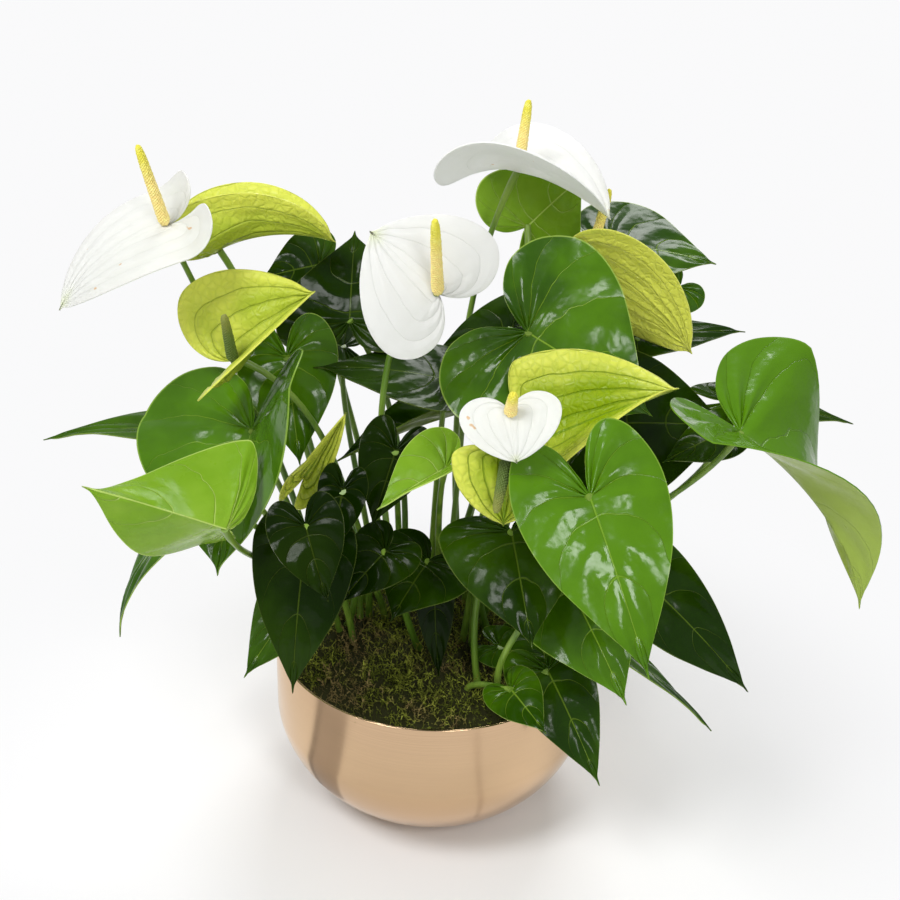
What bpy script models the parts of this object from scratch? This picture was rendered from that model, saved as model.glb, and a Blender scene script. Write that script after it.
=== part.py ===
"""Potted anthurium: a low spun-metal bowl, a dome of soil under moss, and a plant whose leaves and
flowers each rise from the soil on a stalk of their own.

Units are metres, +Z is up, and the origin is the middle of the flat foot that the bowl stands on.
Places of leaves and flowers are written in centimetres, which is how one would measure the plant.
"""
from math import atan2, cos, hypot, pi, radians, sin

import bmesh
import bpy
import numpy as np
from mathutils import Vector
from mathutils.bvhtree import BVHTree

# Bowl
RIM_RADIUS = 0.125
POT_HEIGHT = 0.145
WALL = 0.002
FOOT_SHARE = 0.38        # radius of the flat foot, as a share of the rim's
STRAIGHT_SHARE = 0.5     # height of the upright part of the wall, in rim radii
ROUNDNESS = 1.7          # exponent of the curve between wall and foot; 2 is an ellipse
ROUND_STEPS = 7
POT_SEGMENTS = 32

# Soil and moss
SOIL_TOP = 0.128
SOIL_SEGMENTS = 24
MOSS_EDGE = 0.140        # height of the moss where it meets the wall
MOSS_RISE = 0.010        # how much higher the moss is towards the crowns
MOSS_BUMP = 0.0025
MOSS_RINGS = 5
MOSS_SEGMENTS = 28
GAP = 0.0003

# Leaves and flowers
BLADE_THICKNESS = 0.0010
BLADE_ROWS = 9
BLADE_COLUMNS = 2        # between the midrib and the edge
STALK_FOOT_RADIUS = 0.0028
STALK_TOP_RADIUS = 0.0021
STALK_SIDES = 4
STALK_STEPS = 6
SPADIX_RADIUS = 0.0042
SPADIX_SIDES = 6

# Room between the blades, which lean forwards or back from where they are written
FRONT = Vector((0.0, -0.95, 0.84))   # the blades crowd towards this place before the plant
SPREAD_CLEARANCE = 0.0032
SPREAD_STEP = 0.003
SPREAD_TURNS = 200
COVER_REACH = 0.06       # how far before or behind a blade its neighbours count
NECK = 0.03              # length of the stalk's top that keeps clear with its blade

# Half outlines from the tip to the sinus, where the stalk joins: share of the half width, share of
# the length, and the share of the length where the vein that ends there leaves the midrib.
LEAF_OUTLINE = [
    (0.000, 1.00, 1.00), (0.035, 0.93, 0.90), (0.16, 0.83, 0.77), (0.46, 0.63, 0.53),
    (0.80, 0.37, 0.27), (0.98, 0.10, 0.07), (0.98, -0.12, 0.0), (0.80, -0.31, 0.0),
    (0.50, -0.38, 0.0), (0.21, -0.29, 0.0), (0.05, -0.12, 0.0), (0.0, 0.0, 0.0),
]
SPATHE_OUTLINE = [
    (0.000, 1.00, 1.00), (0.05, 0.96, 0.90), (0.28, 0.88, 0.77), (0.60, 0.69, 0.53),
    (0.87, 0.42, 0.27), (1.00, 0.12, 0.07), (0.97, -0.12, 0.0), (0.78, -0.30, 0.0),
    (0.50, -0.36, 0.0), (0.24, -0.28, 0.0), (0.07, -0.13, 0.0), (0.0, 0.0, 0.0),
]

COLOURS = {
    "brass": ((0.62, 0.42, 0.25), 0.32, 1.0),
    "soil": ((0.030, 0.019, 0.011), 0.95, 0.0),
    "moss": ((0.16, 0.15, 0.035), 0.95, 0.0),
    "leaf": ((0.020, 0.110, 0.010), 0.28, 0.0),
    "young_leaf": ((0.16, 0.36, 0.035), 0.32, 0.0),
    "white_spathe": ((0.86, 0.86, 0.82), 0.42, 0.0),
    "lime_spathe": ((0.52, 0.62, 0.10), 0.42, 0.0),
    "spadix": ((0.78, 0.62, 0.16), 0.60, 0.0),
    "green_spadix": ((0.16, 0.22, 0.05), 0.60, 0.0),
}


def clear_scene():
    for obj in list(bpy.data.objects):
        bpy.data.objects.remove(obj, do_unlink=True)


def material(name, kind):
    colour, rough, metal = COLOURS[kind]
    mat = bpy.data.materials.new(name)
    mat.use_nodes = True
    shader = mat.node_tree.nodes["Principled BSDF"]
    shader.inputs["Base Color"].default_value = (*colour, 1.0)
    shader.inputs["Roughness"].default_value = rough
    shader.inputs["Metallic"].default_value = metal
    return mat


def add_object(name, bm, kind=None):
    """An object made of the given bmesh; without a kind of colour it is a hidden helper."""
    bmesh.ops.recalc_face_normals(bm, faces=bm.faces)
    mesh = bpy.data.meshes.new(name)
    bm.to_mesh(mesh)
    bm.free()
    obj = bpy.data.objects.new(name, mesh)
    bpy.context.collection.objects.link(obj)
    if kind is None:
        obj.hide_render = True
        obj.display_type = "WIRE"
    else:
        mesh.materials.append(material(name, kind))
    mesh.shade_smooth()
    return obj


def join_with(obj, helper, operation):
    cut = obj.modifiers.new(helper.name, "BOOLEAN")
    cut.object = helper
    cut.operation = operation
    cut.solver = "EXACT"


# ---- bowl, soil and moss

def wall_radius(height, inset):
    """Radius of the bowl's wall at a height, moved inwards by the inset."""
    floor = inset
    bend = POT_HEIGHT - STRAIGHT_SHARE * RIM_RADIUS
    if height >= bend:
        return RIM_RADIUS - inset
    share = min(1.0, max(0.0, (bend - height) / (bend - floor)))
    rounded = (1.0 - share ** ROUNDNESS) ** (1.0 / ROUNDNESS)
    foot = FOOT_SHARE * RIM_RADIUS - inset
    return foot + (RIM_RADIUS - inset - foot) * rounded


def wall_profile(inset, top, steps):
    """Points (radius, height) from the top of the wall down to the foot."""
    bend = POT_HEIGHT - STRAIGHT_SHARE * RIM_RADIUS
    points = [(RIM_RADIUS - inset, top)]
    for i in range(steps + 1):
        height = inset + (bend - inset) * cos(0.5 * pi * i / steps)
        points.append((wall_radius(height, inset), height))
    return points


def turned(name, profile, segments, kind):
    """A closed profile of (radius, height) points, turned once round the Z axis."""
    bm = bmesh.new()
    corners = [bm.verts.new((r, 0.0, z)) for r, z in profile]
    edges = [bm.edges.new((a, b)) for a, b in zip(corners, corners[1:])]
    bmesh.ops.spin(
        bm, geom=corners + edges, cent=(0, 0, 0), axis=(0, 0, 1),
        angle=2 * pi, steps=segments, use_merge=True,
    )
    bmesh.ops.remove_doubles(bm, verts=bm.verts, dist=1e-6)
    obj = add_object(name, bm, kind)
    obj.data.set_sharp_from_angle(angle=radians(40))
    return obj


def build_pot():
    rim = WALL * 0.25
    outside = wall_profile(0.0, POT_HEIGHT - rim, ROUND_STEPS)
    inside = wall_profile(WALL, POT_HEIGHT - rim, ROUND_STEPS)
    profile = [(0.0, 0.0)] + outside[::-1]
    profile += [(RIM_RADIUS - rim, POT_HEIGHT), (RIM_RADIUS - WALL + rim, POT_HEIGHT)]
    profile += inside + [(0.0, WALL)]
    turned("pot", profile, POT_SEGMENTS, "brass")


def build_soil():
    side = wall_profile(WALL + GAP + 0.0004, SOIL_TOP, ROUND_STEPS)
    profile = [(0.0, SOIL_TOP)] + side + [(0.0, side[-1][1])]
    turned("soil", profile, SOIL_SEGMENTS, "soil")


def moss_height(x, y):
    inward = 1.0 - hypot(x, y) / RIM_RADIUS
    lump = sin(95 * x + 1.3) * cos(110 * y) + 0.6 * sin(170 * x - 140 * y)
    return MOSS_EDGE + MOSS_RISE * min(1.0, 2.0 * inward) + MOSS_BUMP * lump * min(1.0, 8.0 * inward)


def build_moss():
    """A lumpy disc that lies on the soil, open where the crowns grow through it."""
    reach = RIM_RADIUS - WALL - GAP - 0.0004
    base = SOIL_TOP + GAP
    bm = bmesh.new()
    layers = []
    for top in (False, True):
        rings = []
        for i in range(1, MOSS_RINGS + 1):
            ring = []
            for k in range(MOSS_SEGMENTS):
                angle = 2 * pi * k / MOSS_SEGMENTS
                x = reach * i / MOSS_RINGS * cos(angle)
                y = reach * i / MOSS_RINGS * sin(angle)
                ring.append(bm.verts.new((x, y, moss_height(x, y) if top else base)))
            rings.append(ring)
        middle = bm.verts.new((0, 0, moss_height(0, 0) if top else base))
        for k in range(MOSS_SEGMENTS):
            bm.faces.new((middle, rings[0][k], rings[0][(k + 1) % MOSS_SEGMENTS]))
            for a, b in zip(rings, rings[1:]):
                n = (k + 1) % MOSS_SEGMENTS
                bm.faces.new((a[k], b[k], b[n], a[n]))
        layers.append(rings[-1])
    low, high = layers
    for k in range(MOSS_SEGMENTS):
        n = (k + 1) % MOSS_SEGMENTS
        bm.faces.new((low[k], low[n], high[n], high[k]))
    moss = add_object("moss", bm, "moss")
    for name, x, y, long, wide in CROWN_OPENINGS:
        bm = bmesh.new()
        bmesh.ops.create_cone(
            bm, segments=20, radius1=1.0, radius2=1.0, depth=0.08, cap_ends=True,
        )
        bmesh.ops.scale(bm, vec=(long, wide, 1.0), verts=bm.verts)
        bmesh.ops.translate(bm, vec=(x, y, SOIL_TOP), verts=bm.verts)
        join_with(moss, add_object(name, bm), "DIFFERENCE")


# Openings in the moss round the crowns: name, centre and half sizes
CROWN_OPENINGS = [
    ("crown_opening_main", -0.010, 0.025, 0.096, 0.062),
    ("crown_opening_right", 0.049, -0.071, 0.028, 0.022),
]


# ---- leaves and flowers

def spline(points, count):
    """Points evenly spaced in parameter on a Catmull-Rom curve; the last value stays linear."""
    first = [2 * a - b for a, b in zip(points[0], points[1])]
    last = [2 * a - b for a, b in zip(points[-1], points[-2])]
    padded = [first, *points, last]
    result = []
    for i in range(count):
        place = (len(points) - 1) * i / (count - 1)
        k = min(int(place), len(points) - 2)
        t = place - k
        a, b, c, d = padded[k:k + 4]
        x, y = (
            0.5 * (2 * q + (r - p) * t + (2 * p - 5 * q + 4 * r - s) * t * t
                   + (3 * q - p - 3 * r + s) * t ** 3)
            for p, q, r, s in list(zip(a, b, c, d))[:2]
        )
        result.append((max(0.0, x), y, b[2] + (c[2] - b[2]) * t))
    result[0], result[-1] = points[0], points[-1]
    return result


class Midrib:
    """A line that leaves the sinus straight, bends down by the droop, and lifts the lobes behind."""

    STEP = 0.01

    def __init__(self, droop, lobes):
        self.droop = radians(droop)
        self.lobes = radians(lobes)
        self.forward = self.walk(1.0)
        self.backward = self.walk(-0.6)

    def angle(self, share):
        if share >= 0:
            return -self.droop * share
        return self.lobes * -share / 0.4

    def walk(self, reach):
        points = [(0.0, 0.0)]
        steps = round(abs(reach) / self.STEP)
        step = reach / steps
        for i in range(steps):
            turn = self.angle((i + 0.5) * step)
            x, y = points[-1]
            points.append((x + step * cos(turn), y + step * sin(turn)))
        return points

    def place(self, share):
        points = self.forward if share >= 0 else self.backward
        where = min(abs(share) / self.STEP, len(points) - 1.001)
        k = int(where)
        t = where - k
        (a, b), (c, d) = points[k], points[k + 1]
        return a + (c - a) * t, b + (d - b) * t


class Blade:
    """The surface of a leaf or spathe between its sinus and its tip.

    face is the side that its upper surface looks to; fold turns each half (left, right) up from
    the midrib; cup curls it further towards the edge; slim narrows it towards the tip; lobe
    shortens the lobes behind the sinus; eased keeps the fold low round the sinus."""

    def __init__(self, sinus, tip, face, width, outline, droop=20, lobes=0, fold=(0, 0),
                 cup=(0, 0), twist=0, slim=0.0, lobe=1.0, eased=False):
        self.sinus = Vector(sinus) / 100
        self.outline = outline
        self.half = width / 200
        self.midrib = Midrib(droop, lobes)
        self.fold = fold
        self.cup = cup
        self.twist = radians(twist)
        self.slim = slim
        self.lobe = lobe
        self.eased = eased
        chord = Vector(tip) / 100 - self.sinus
        x, y = self.midrib.place(1.0)
        self.length = chord.length / hypot(x, y)
        chord.normalize()
        face = Vector(face)
        normal = (face - chord * face.dot(chord)).normalized()
        lean = atan2(y, x)
        self.along = chord * cos(lean) - normal * sin(lean)
        self.up = chord * sin(lean) + normal * cos(lean)
        self.across = self.along.cross(self.up)

    def point(self, side, share, width_share, length_share, root_share):
        """A point on one half: share runs from the midrib (0) to the edge (1)."""
        if length_share < 0:
            length_share *= self.lobe
        reach = length_share - root_share
        y = root_share + reach * share ** 1.3
        x = width_share * share * (1.0 - self.slim * min(1.0, max(0.0, y)))
        which = 0 if side < 0 else 1
        fold, cup = radians(self.fold[which]), radians(self.cup[which])
        if self.eased:
            away = hypot(x * self.half / self.length, y)
            fold *= 0.25 + 0.75 * min(1.0, away / 0.4)
        if abs(cup) < 1e-4:
            out, lift = x * self.half * cos(fold), x * self.half * sin(fold)
        else:
            radius = self.half / cup
            out = radius * (sin(fold + x * cup) - sin(fold))
            lift = -radius * (cos(fold + x * cup) - cos(fold))
        turn = self.twist * min(1.0, max(0.0, y))
        out, lift = (
            side * out * cos(turn) - lift * sin(turn),
            side * out * sin(turn) + lift * cos(turn),
        )
        cx, cy = self.midrib.place(y)
        bend = self.midrib.angle(y)
        normal = self.up * cos(bend) - self.along * sin(bend)
        middle = self.sinus + (self.along * cx + self.up * cy) * self.length
        return middle + self.across * out + normal * lift

    def surface(self):
        """The open surface, one face deep, as a bmesh."""
        bm = bmesh.new()
        rows = spline(self.outline, BLADE_ROWS)
        sinus = bm.verts.new(self.sinus)
        spine = []
        for w, l, root in rows:
            if root < 1e-4:
                spine.append(sinus)
            else:
                spine.append(bm.verts.new(self.point(1, 0.0, w, l, root)))
        for side in (1, -1):
            grid = []
            for row, (w, l, root) in enumerate(rows):
                if row in (0, len(rows) - 1):
                    grid.append([spine[row]] * (BLADE_COLUMNS + 1))
                    continue
                line = [spine[row]]
                for k in range(1, BLADE_COLUMNS + 1):
                    line.append(bm.verts.new(self.point(side, k / BLADE_COLUMNS, w, l, root)))
                grid.append(line)
            for a, b in zip(grid, grid[1:]):
                for k in range(BLADE_COLUMNS):
                    corners = []
                    for v in (a[k], b[k], b[k + 1], a[k + 1]):
                        if v not in corners:
                            corners.append(v)
                    if side < 0:
                        corners.reverse()
                    if len(corners) > 2:
                        bm.faces.new(corners)
        return bm


def tube(name, path, headings, radii, sides, kind=None, base_normal=None):
    """A closed tube through the points of the path, with flat ends."""
    bm = bmesh.new()
    rings = []
    side = headings[0].cross(Vector((0.3, 1.0, 0.2))).normalized()
    for i, (point, heading, radius) in enumerate(zip(path, headings, radii)):
        side = (side - heading * side.dot(heading)).normalized()
        other = heading.cross(side)
        ring = []
        for k in range(sides):
            angle = 2 * pi * k / sides
            offset = (side * cos(angle) + other * sin(angle)) * radius
            if i == 0 and base_normal is not None:
                offset -= heading * (offset.dot(base_normal) / heading.dot(base_normal))
            ring.append(bm.verts.new(point + offset))
        rings.append(ring)
    for a, b in zip(rings, rings[1:]):
        for k in range(sides):
            n = (k + 1) % sides
            bm.faces.new((a[k], a[n], b[n], b[k]))
    bm.faces.new(rings[0][::-1])
    bm.faces.new(rings[-1])
    return add_object(name, bm, kind)


def bezier(a, b, c, d, t):
    s = 1 - t
    point = a * s ** 3 + b * 3 * s * s * t + c * 3 * s * t * t + d * t ** 3
    heading = (b - a) * 3 * s * s + (c - b) * 6 * s * t + (d - c) * 3 * t * t
    return point, heading.normalized()


class Shape:
    """One blade with the top of its stalk and its spadix, as a search tree that can be shifted."""

    def __init__(self, bm):
        bmesh.ops.recalc_face_normals(bm, faces=bm.faces)
        self.tree = BVHTree.FromBMesh(bm)
        points = [v.co for v in bm.verts]
        points += [f.calc_center_median() for f in bm.faces]
        points += [(e.verts[0].co + e.verts[1].co) / 2 for e in bm.edges]
        self.points = np.array(points)
        self.forward = (FRONT - Vector(self.points.mean(axis=0))).normalized()
        self.shift = Vector((0.0, 0.0, 0.0))

    def low(self):
        return self.points.min(axis=0) + np.array(self.shift)

    def high(self):
        return self.points.max(axis=0) + np.array(self.shift)

    def near(self, points, distance):
        """Those of the points, in the plant's frame, that lie within the distance of the shape."""
        inside = (points > self.low() - distance) & (points < self.high() + distance)
        found = []
        for point in points[inside.all(axis=1)]:
            if self.tree.find_nearest(Vector(point) - self.shift, distance)[0]:
                found.append(point)
        return found


def front_gaps(one, other):
    """Distances by which the other shape stands before one, where the two cover each other."""
    gaps = []
    base = np.array(one.shift)
    inside = one.points + base
    low, high = other.low() - COVER_REACH, other.high() + COVER_REACH
    for point in inside[((inside > low) & (inside < high)).all(axis=1)]:
        start = Vector(point) - other.shift
        forward = (FRONT - Vector(point)).normalized()
        ahead = other.tree.ray_cast(start, forward, COVER_REACH)[3]
        behind = other.tree.ray_cast(start, -forward, COVER_REACH)[3]
        if ahead is not None and (behind is None or ahead < behind):
            gaps.append(ahead)
        elif behind is not None:
            gaps.append(-behind)
    return gaps


def spread(shapes):
    """Shift blades forwards and back until none comes too close to another."""
    for _ in range(SPREAD_TURNS):
        pushes = [0.0] * len(shapes)
        for i, one in enumerate(shapes):
            for k in range(i + 1, len(shapes)):
                other = shapes[k]
                room = SPREAD_CLEARANCE
                if (one.low() > other.high() + room).any() or (other.low() > one.high() + room).any():
                    continue
                base, there = np.array(one.shift), np.array(other.shift)
                if not (other.near(one.points + base, room) or one.near(other.points + there, room)):
                    continue
                gaps = front_gaps(one, other) + [-g for g in front_gaps(other, one)]
                order = 1.0 if sum(gaps) >= 0 else -1.0
                worst = min((order * g for g in gaps), default=0.0)
                push = min(SPREAD_STEP, max(0.0005, 0.5 * (room - worst)))
                pushes[i] -= order * push
                pushes[k] += order * push
        if not any(pushes):
            break
        for shape, push in zip(shapes, pushes):
            shape.shift += shape.forward * max(-SPREAD_STEP, min(SPREAD_STEP, push))


class Space:
    """What the plant already fills, so that a new stalk can bend round it."""

    SAMPLES = 60
    CLEAR_OF_BLADE = 0.0040
    CLEAR_OF_STALK = 0.0066
    CLEAR_OF_MOSS = 0.0036

    def __init__(self, shapes):
        self.shapes = shapes
        self.stalks = np.empty((0, 3))
        self.bends = bends()

    def near_moss(self, points):
        """How many points run into the moss or the bowl instead of an opening round a crown."""
        low = points[points[:, 2] < MOSS_EDGE + MOSS_RISE + 2 * MOSS_BUMP + self.CLEAR_OF_MOSS]
        free = np.zeros(len(low), bool)
        for _, x, y, long, wide in CROWN_OPENINGS:
            across = (low[:, 0] - x) / (long - self.CLEAR_OF_MOSS)
            deep = (low[:, 1] - y) / (wide - self.CLEAR_OF_MOSS)
            free |= across ** 2 + deep ** 2 < 1.0
        return int((~free).sum())

    def near_stalks(self, points):
        if not len(self.stalks):
            return 0
        gaps = np.linalg.norm(points[:, None] - self.stalks[None], axis=2)
        return int((gaps.min(axis=1) < self.CLEAR_OF_STALK).sum())

    def conflict(self, own, points, limit):
        """How many points of the route lie too close to something else, counted up to the limit."""
        bad = self.near_moss(points) + self.near_stalks(points)
        for shape in self.shapes:
            if bad >= limit:
                break
            if shape is not own:
                bad += len(shape.near(points, self.CLEAR_OF_BLADE))
        return bad


def ring_of(size, count):
    return [Vector((size * cos(2 * pi * k / count), size * sin(2 * pi * k / count), 0.0))
            for k in range(count)]


def bends():
    """Shifts of a stalk's foot and its sideways bends (low, high), the slightest first."""
    none = Vector((0.0, 0.0, 0.0))
    sides = []
    for size in (0.008, 0.016, 0.026, 0.038, 0.052, 0.070):
        for side in ring_of(size, 8):
            sides += [(side, side), (none, side), (side, none), (side, -side)]
    choices = [(none, none, none)] + [(none, low, high) for low, high in sides]
    for step in (0.006, 0.012, 0.018):
        for foot in ring_of(step, 6):
            choices += [(foot, foot + low, high) for low, high in sides[::2]]
    return choices


def stalk_end(piece):
    """Where the stalk meets the blade, and the heading it comes in."""
    blade = piece["blade"]
    foot = Vector((piece["foot"][0] / 100, piece["foot"][1] / 100, SOIL_TOP + GAP))
    way = (blade.sinus - foot).normalized()
    end = blade.sinus + blade.along * 0.001 + blade.up * piece["lift"]
    coming = (way * (1 - piece["arrive"]) + blade.up * piece["arrive"]).normalized()
    return foot, way, end, coming


def stalk_route(space, piece):
    """The knots of the stalk's curve, from its foot on the soil to the sinus."""
    foot, way, end, coming = stalk_end(piece)
    length = (end - foot).length
    start = (way + Vector((0, 0, 1))).normalized()
    low = foot + start * length * 0.35
    high = end - coming * length * 0.25
    best, fewest = None, 1000
    for step, bend_low, bend_high in space.bends:
        knots = (foot + step, low + bend_low, high + bend_high, end)
        route = np.array([bezier(*knots, i / space.SAMPLES)[0] for i in range(space.SAMPLES + 1)])
        score = space.conflict(piece["shape"], route, fewest)
        if score < fewest:
            best, fewest = (knots, route), score
        if score == 0:
            break
    space.stalks = np.vstack([space.stalks, best[1]])
    return best[0]


def stalk(name, knots):
    path, headings, radii = [], [], []
    for i in range(STALK_STEPS):
        t = i / (STALK_STEPS - 1)
        point, heading = bezier(*knots, t)
        path.append(point)
        headings.append(heading if i else Vector((0, 0, 1)))
        radii.append(STALK_FOOT_RADIUS + (STALK_TOP_RADIUS - STALK_FOOT_RADIUS) * t)
    return tube(name + "_stalk", path, headings, radii, STALK_SIDES)


def thicken(obj, thickness):
    skin = obj.modifiers.new("thickness", "SOLIDIFY")
    skin.thickness = thickness
    skin.offset = 0.0
    skin.use_even_offset = False


PLANT = []


def leaf(name, sinus, tip, face, width, foot, kind="leaf", **shape):
    blade = Blade(sinus, tip, face, width, LEAF_OUTLINE, **shape)
    PLANT.append({"name": "leaf_" + name, "blade": blade, "foot": foot, "kind": kind,
                  "lift": 0.0004, "arrive": 0.4, "spadix": None})


def flower(name, sinus, tip, face, width, foot, spadix=None, kind="white_spathe",
           spadix_kind="spadix", rise=0.0, **shape):
    """A spathe on its stalk, and the spadix that stands on it, from the sinus to its own tip."""
    blade = Blade(sinus, tip, face, width, SPATHE_OUTLINE, eased=True, **shape)
    PLANT.append({"name": "spathe_" + name, "blade": blade, "foot": foot, "kind": kind,
                  "lift": -0.0001, "arrive": 0.9, "spadix": spadix,
                  "spadix_name": "spadix_" + name, "spadix_kind": spadix_kind, "rise": rise})


def finger(piece):
    """Points and radii along the spadix, from the spathe to its tip."""
    blade = piece["blade"]
    top = Vector(piece["spadix"]) / 100
    base = blade.sinus + blade.along * 0.001
    base = base + blade.up * (0.5 * BLADE_THICKNESS + 2 * GAP + piece["rise"])
    shares = (0.0, 0.12, 0.45, 0.8, 0.95, 1.0)
    sizes = (0.4, 0.95, 1.0, 0.8, 0.62, 0.30)
    return [base.lerp(top, s) for s in shares], [SPADIX_RADIUS * s for s in sizes]


def spadix(piece):
    """A tapering finger that stands on the spathe; the spathe's own shape trims its base."""
    clearance = add_object(piece["spadix_name"] + "_seat", piece["blade"].surface())
    thicken(clearance, BLADE_THICKNESS + 2 * GAP)
    path, radii = finger(piece)
    way = (path[-1] - path[0]).normalized()
    body = tube(piece["spadix_name"], path, [way] * len(path), radii, SPADIX_SIDES,
                piece["spadix_kind"], base_normal=piece["blade"].up)
    join_with(body, clearance, "DIFFERENCE")


def add_rod(bm, path, radius):
    """A thin three-sided rod through the points, open at its ends."""
    rings = []
    for point in path:
        ring = []
        for k in range(3):
            angle = 2 * pi * k / 3
            ring.append(bm.verts.new(point + Vector((cos(angle), sin(angle), 0.0)) * radius))
        rings.append(ring)
    for a, b in zip(rings, rings[1:]):
        for k in range(3):
            n = (k + 1) % 3
            bm.faces.new((a[k], a[n], b[n], b[k]))


def shape_of(piece):
    """The blade, the top of its stalk and its spadix, for finding room between the pieces."""
    bm = piece["blade"].surface()
    _, _, end, coming = stalk_end(piece)
    add_rod(bm, [end - coming * NECK * (1 + i) / 4 for i in range(4)], STALK_TOP_RADIUS)
    if piece["spadix"]:
        path, _ = finger(piece)
        add_rod(bm, path[1:], SPADIX_RADIUS)
    shape = Shape(bm)
    bm.free()
    return shape


def grow():
    """Make every piece of the plant: blades first, then the stalks that wind between them."""
    for piece in PLANT:
        piece["shape"] = shape_of(piece)
    shapes = [piece["shape"] for piece in PLANT]
    spread(shapes)
    space = Space(shapes)
    for piece in PLANT:
        shift = piece["shape"].shift
        piece["blade"].sinus = piece["blade"].sinus + shift
        if piece["spadix"]:
            piece["spadix"] = Vector(piece["spadix"]) + shift * 100
        piece["object"] = add_object(piece["name"], piece["blade"].surface(), piece["kind"])
        thicken(piece["object"], BLADE_THICKNESS)
    for piece in PLANT:
        knots = stalk_route(space, piece)
        join_with(piece["object"], stalk(piece["name"], knots), "UNION")
        if piece["spadix"]:
            spadix(piece)


def build_leaves():
    """Every leaf: sinus, tip and foot in centimetres, the side its face looks to, its width."""
    # left side
    leaf("left_large", (-13.0, -5.5, 34.9), (-14.8, -12.2, 27.0), (-0.35, -0.8, 0.4), 17.8,
         (-8.2, 0.9), droop=30, fold=(50, 0), lobes=0, twist=28, lobe=1.14)
    leaf("left_pale", (-13.7, -13.9, 32.0), (-22.2, -15.9, 36.1), (0.05, 0.87, -0.45), 13.0,
         (-9.4, 0.8), kind="young_leaf", droop=10, lobes=-20, fold=(30, 70), lobe=0.4, twist=-70)
    leaf("left_back", (-17.5, 3.5, 29.6), (-31.0, 5.0, 27.5), (0, -0.1, 1), 6.5,
         (-9.0, 3.6), droop=25, fold=(15, 0))
    leaf("left_drooping", (-17.0, -3.0, 27.5), (-23.5, -6.0, 17.0), (-0.8, -0.3, 0.4), 5.0,
         (-9.4, 1.2), droop=60)
    leaf("left_inner", (-11.4, 1.5, 37.2), (-10.1, -2.5, 30.3), (0.1, -0.8, 0.6), 7.5,
         (-6.6, 2.3), droop=20)
    leaf("front_left", (-8.9, -11.5, 29.0), (-9.5, -15.0, 19.5), (-0.1, -0.85, 0.5), 7.2,
         (-6.2, -1.9), droop=25, lobe=0.7)
    leaf("front_left_lower", (-9.5, -7.0, 22.5), (-13.5, -11.0, 17.5), (-0.3, -0.8, 0.5), 6.0,
         (-7.2, -1.3), droop=20)
    leaf("front_left_small", (-8.4, -14.7, 33.0), (-6.8, -16.7, 28.5), (-0.2, -0.9, 0.4), 5.2,
         (-5.8, -0.4), droop=20, fold=(0, 30))
    leaf("inner_left_small", (-6.4, -10.0, 33.0), (-7.0, -12.0, 29.0), (0, -0.9, 0.4), 3.4,
         (-5.4, 1.2), droop=20)
    # middle
    leaf("inner_left", (-3.5, -9.0, 27.5), (-6.5, -12.0, 25.0), (-0.2, -0.7, 0.7), 5.0,
         (-4.0, 1.8), droop=20)
    leaf("inner_centre", (-0.5, -7.0, 25.5), (-3.0, -11.0, 23.0), (-0.2, -0.7, 0.7), 7.5,
         (-2.0, 1.6), droop=25)
    leaf("middle_broad", (0.4, -1.3, 37.2), (-9.4, 0.6, 36.8), (0, -0.15, 1), 8.0,
         (-0.6, 4.4), droop=20, lobe=0.5)
    leaf("middle_folded", (1.7, 1.0, 33.5), (-8.0, -1.5, 30.0), (0.1, -0.3, 1), 7.0,
         (0.8, 3.2), droop=20, fold=(60, 10))
    leaf("middle_young", (0.5, -10.0, 35.0), (-4.0, -12.5, 33.0), (-0.2, -0.8, 0.6), 6.0,
         (0.2, 2.0), kind="young_leaf", droop=25, fold=(70, 0))
    leaf("middle_dark", (-3.0, -7.0, 34.5), (-4.5, -9.0, 29.5), (0, -0.9, 0.4), 5.0,
         (-2.8, 3.0), droop=20)
    leaf("centre_large", (5.9, -0.2, 40.6), (14.8, -3.0, 35.8), (0.1, -0.8, 0.6), 15.5,
         (2.2, 3.6), droop=25)
    leaf("low_middle", (0.0, -6.0, 21.5), (0.5, -7.5, 15.5), (-0.3, -0.9, 0.3), 3.0,
         (-0.6, 2.8), droop=10)
    # back
    leaf("back_left_upright", (-7.0, 4.0, 39.0), (-7.0, 9.5, 44.0), (-0.1, -0.85, 0.5), 11.0,
         (-3.4, 4.4), droop=10, lobes=-40)
    leaf("back_left_low", (-7.5, 5.0, 36.5), (-12.0, 4.0, 37.5), (0, -0.4, 0.9), 6.0,
         (-4.8, 5.0), droop=20)
    leaf("back_left_far", (-9.7, 9.4, 41.2), (-14.0, 8.0, 40.5), (0, -0.8, 0.55), 6.0,
         (-3.8, 6.6), droop=20)
    leaf("back_middle", (5.0, 4.0, 39.0), (-0.5, 5.0, 36.5), (0, -0.4, 0.9), 7.0,
         (0.6, 5.6), droop=20)
    leaf("back_top_pale", (5.8, 8.5, 45.2), (10.0, 9.8, 49.0), (0, 0.9, 0.3), 11.0,
         (1.6, 7.0), kind="young_leaf", droop=10)
    leaf("back_right", (12.0, 8.5, 44.0), (20.0, 6.5, 43.5), (0, -0.3, 0.95), 11.0,
         (3.4, 7.0), droop=20, lobes=-20)
    leaf("back_right_small", (17.6, 8.5, 40.8), (15.6, 8.0, 38.5), (0, -0.9, 0.4), 4.5,
         (5.0, 6.4), droop=10)
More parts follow.
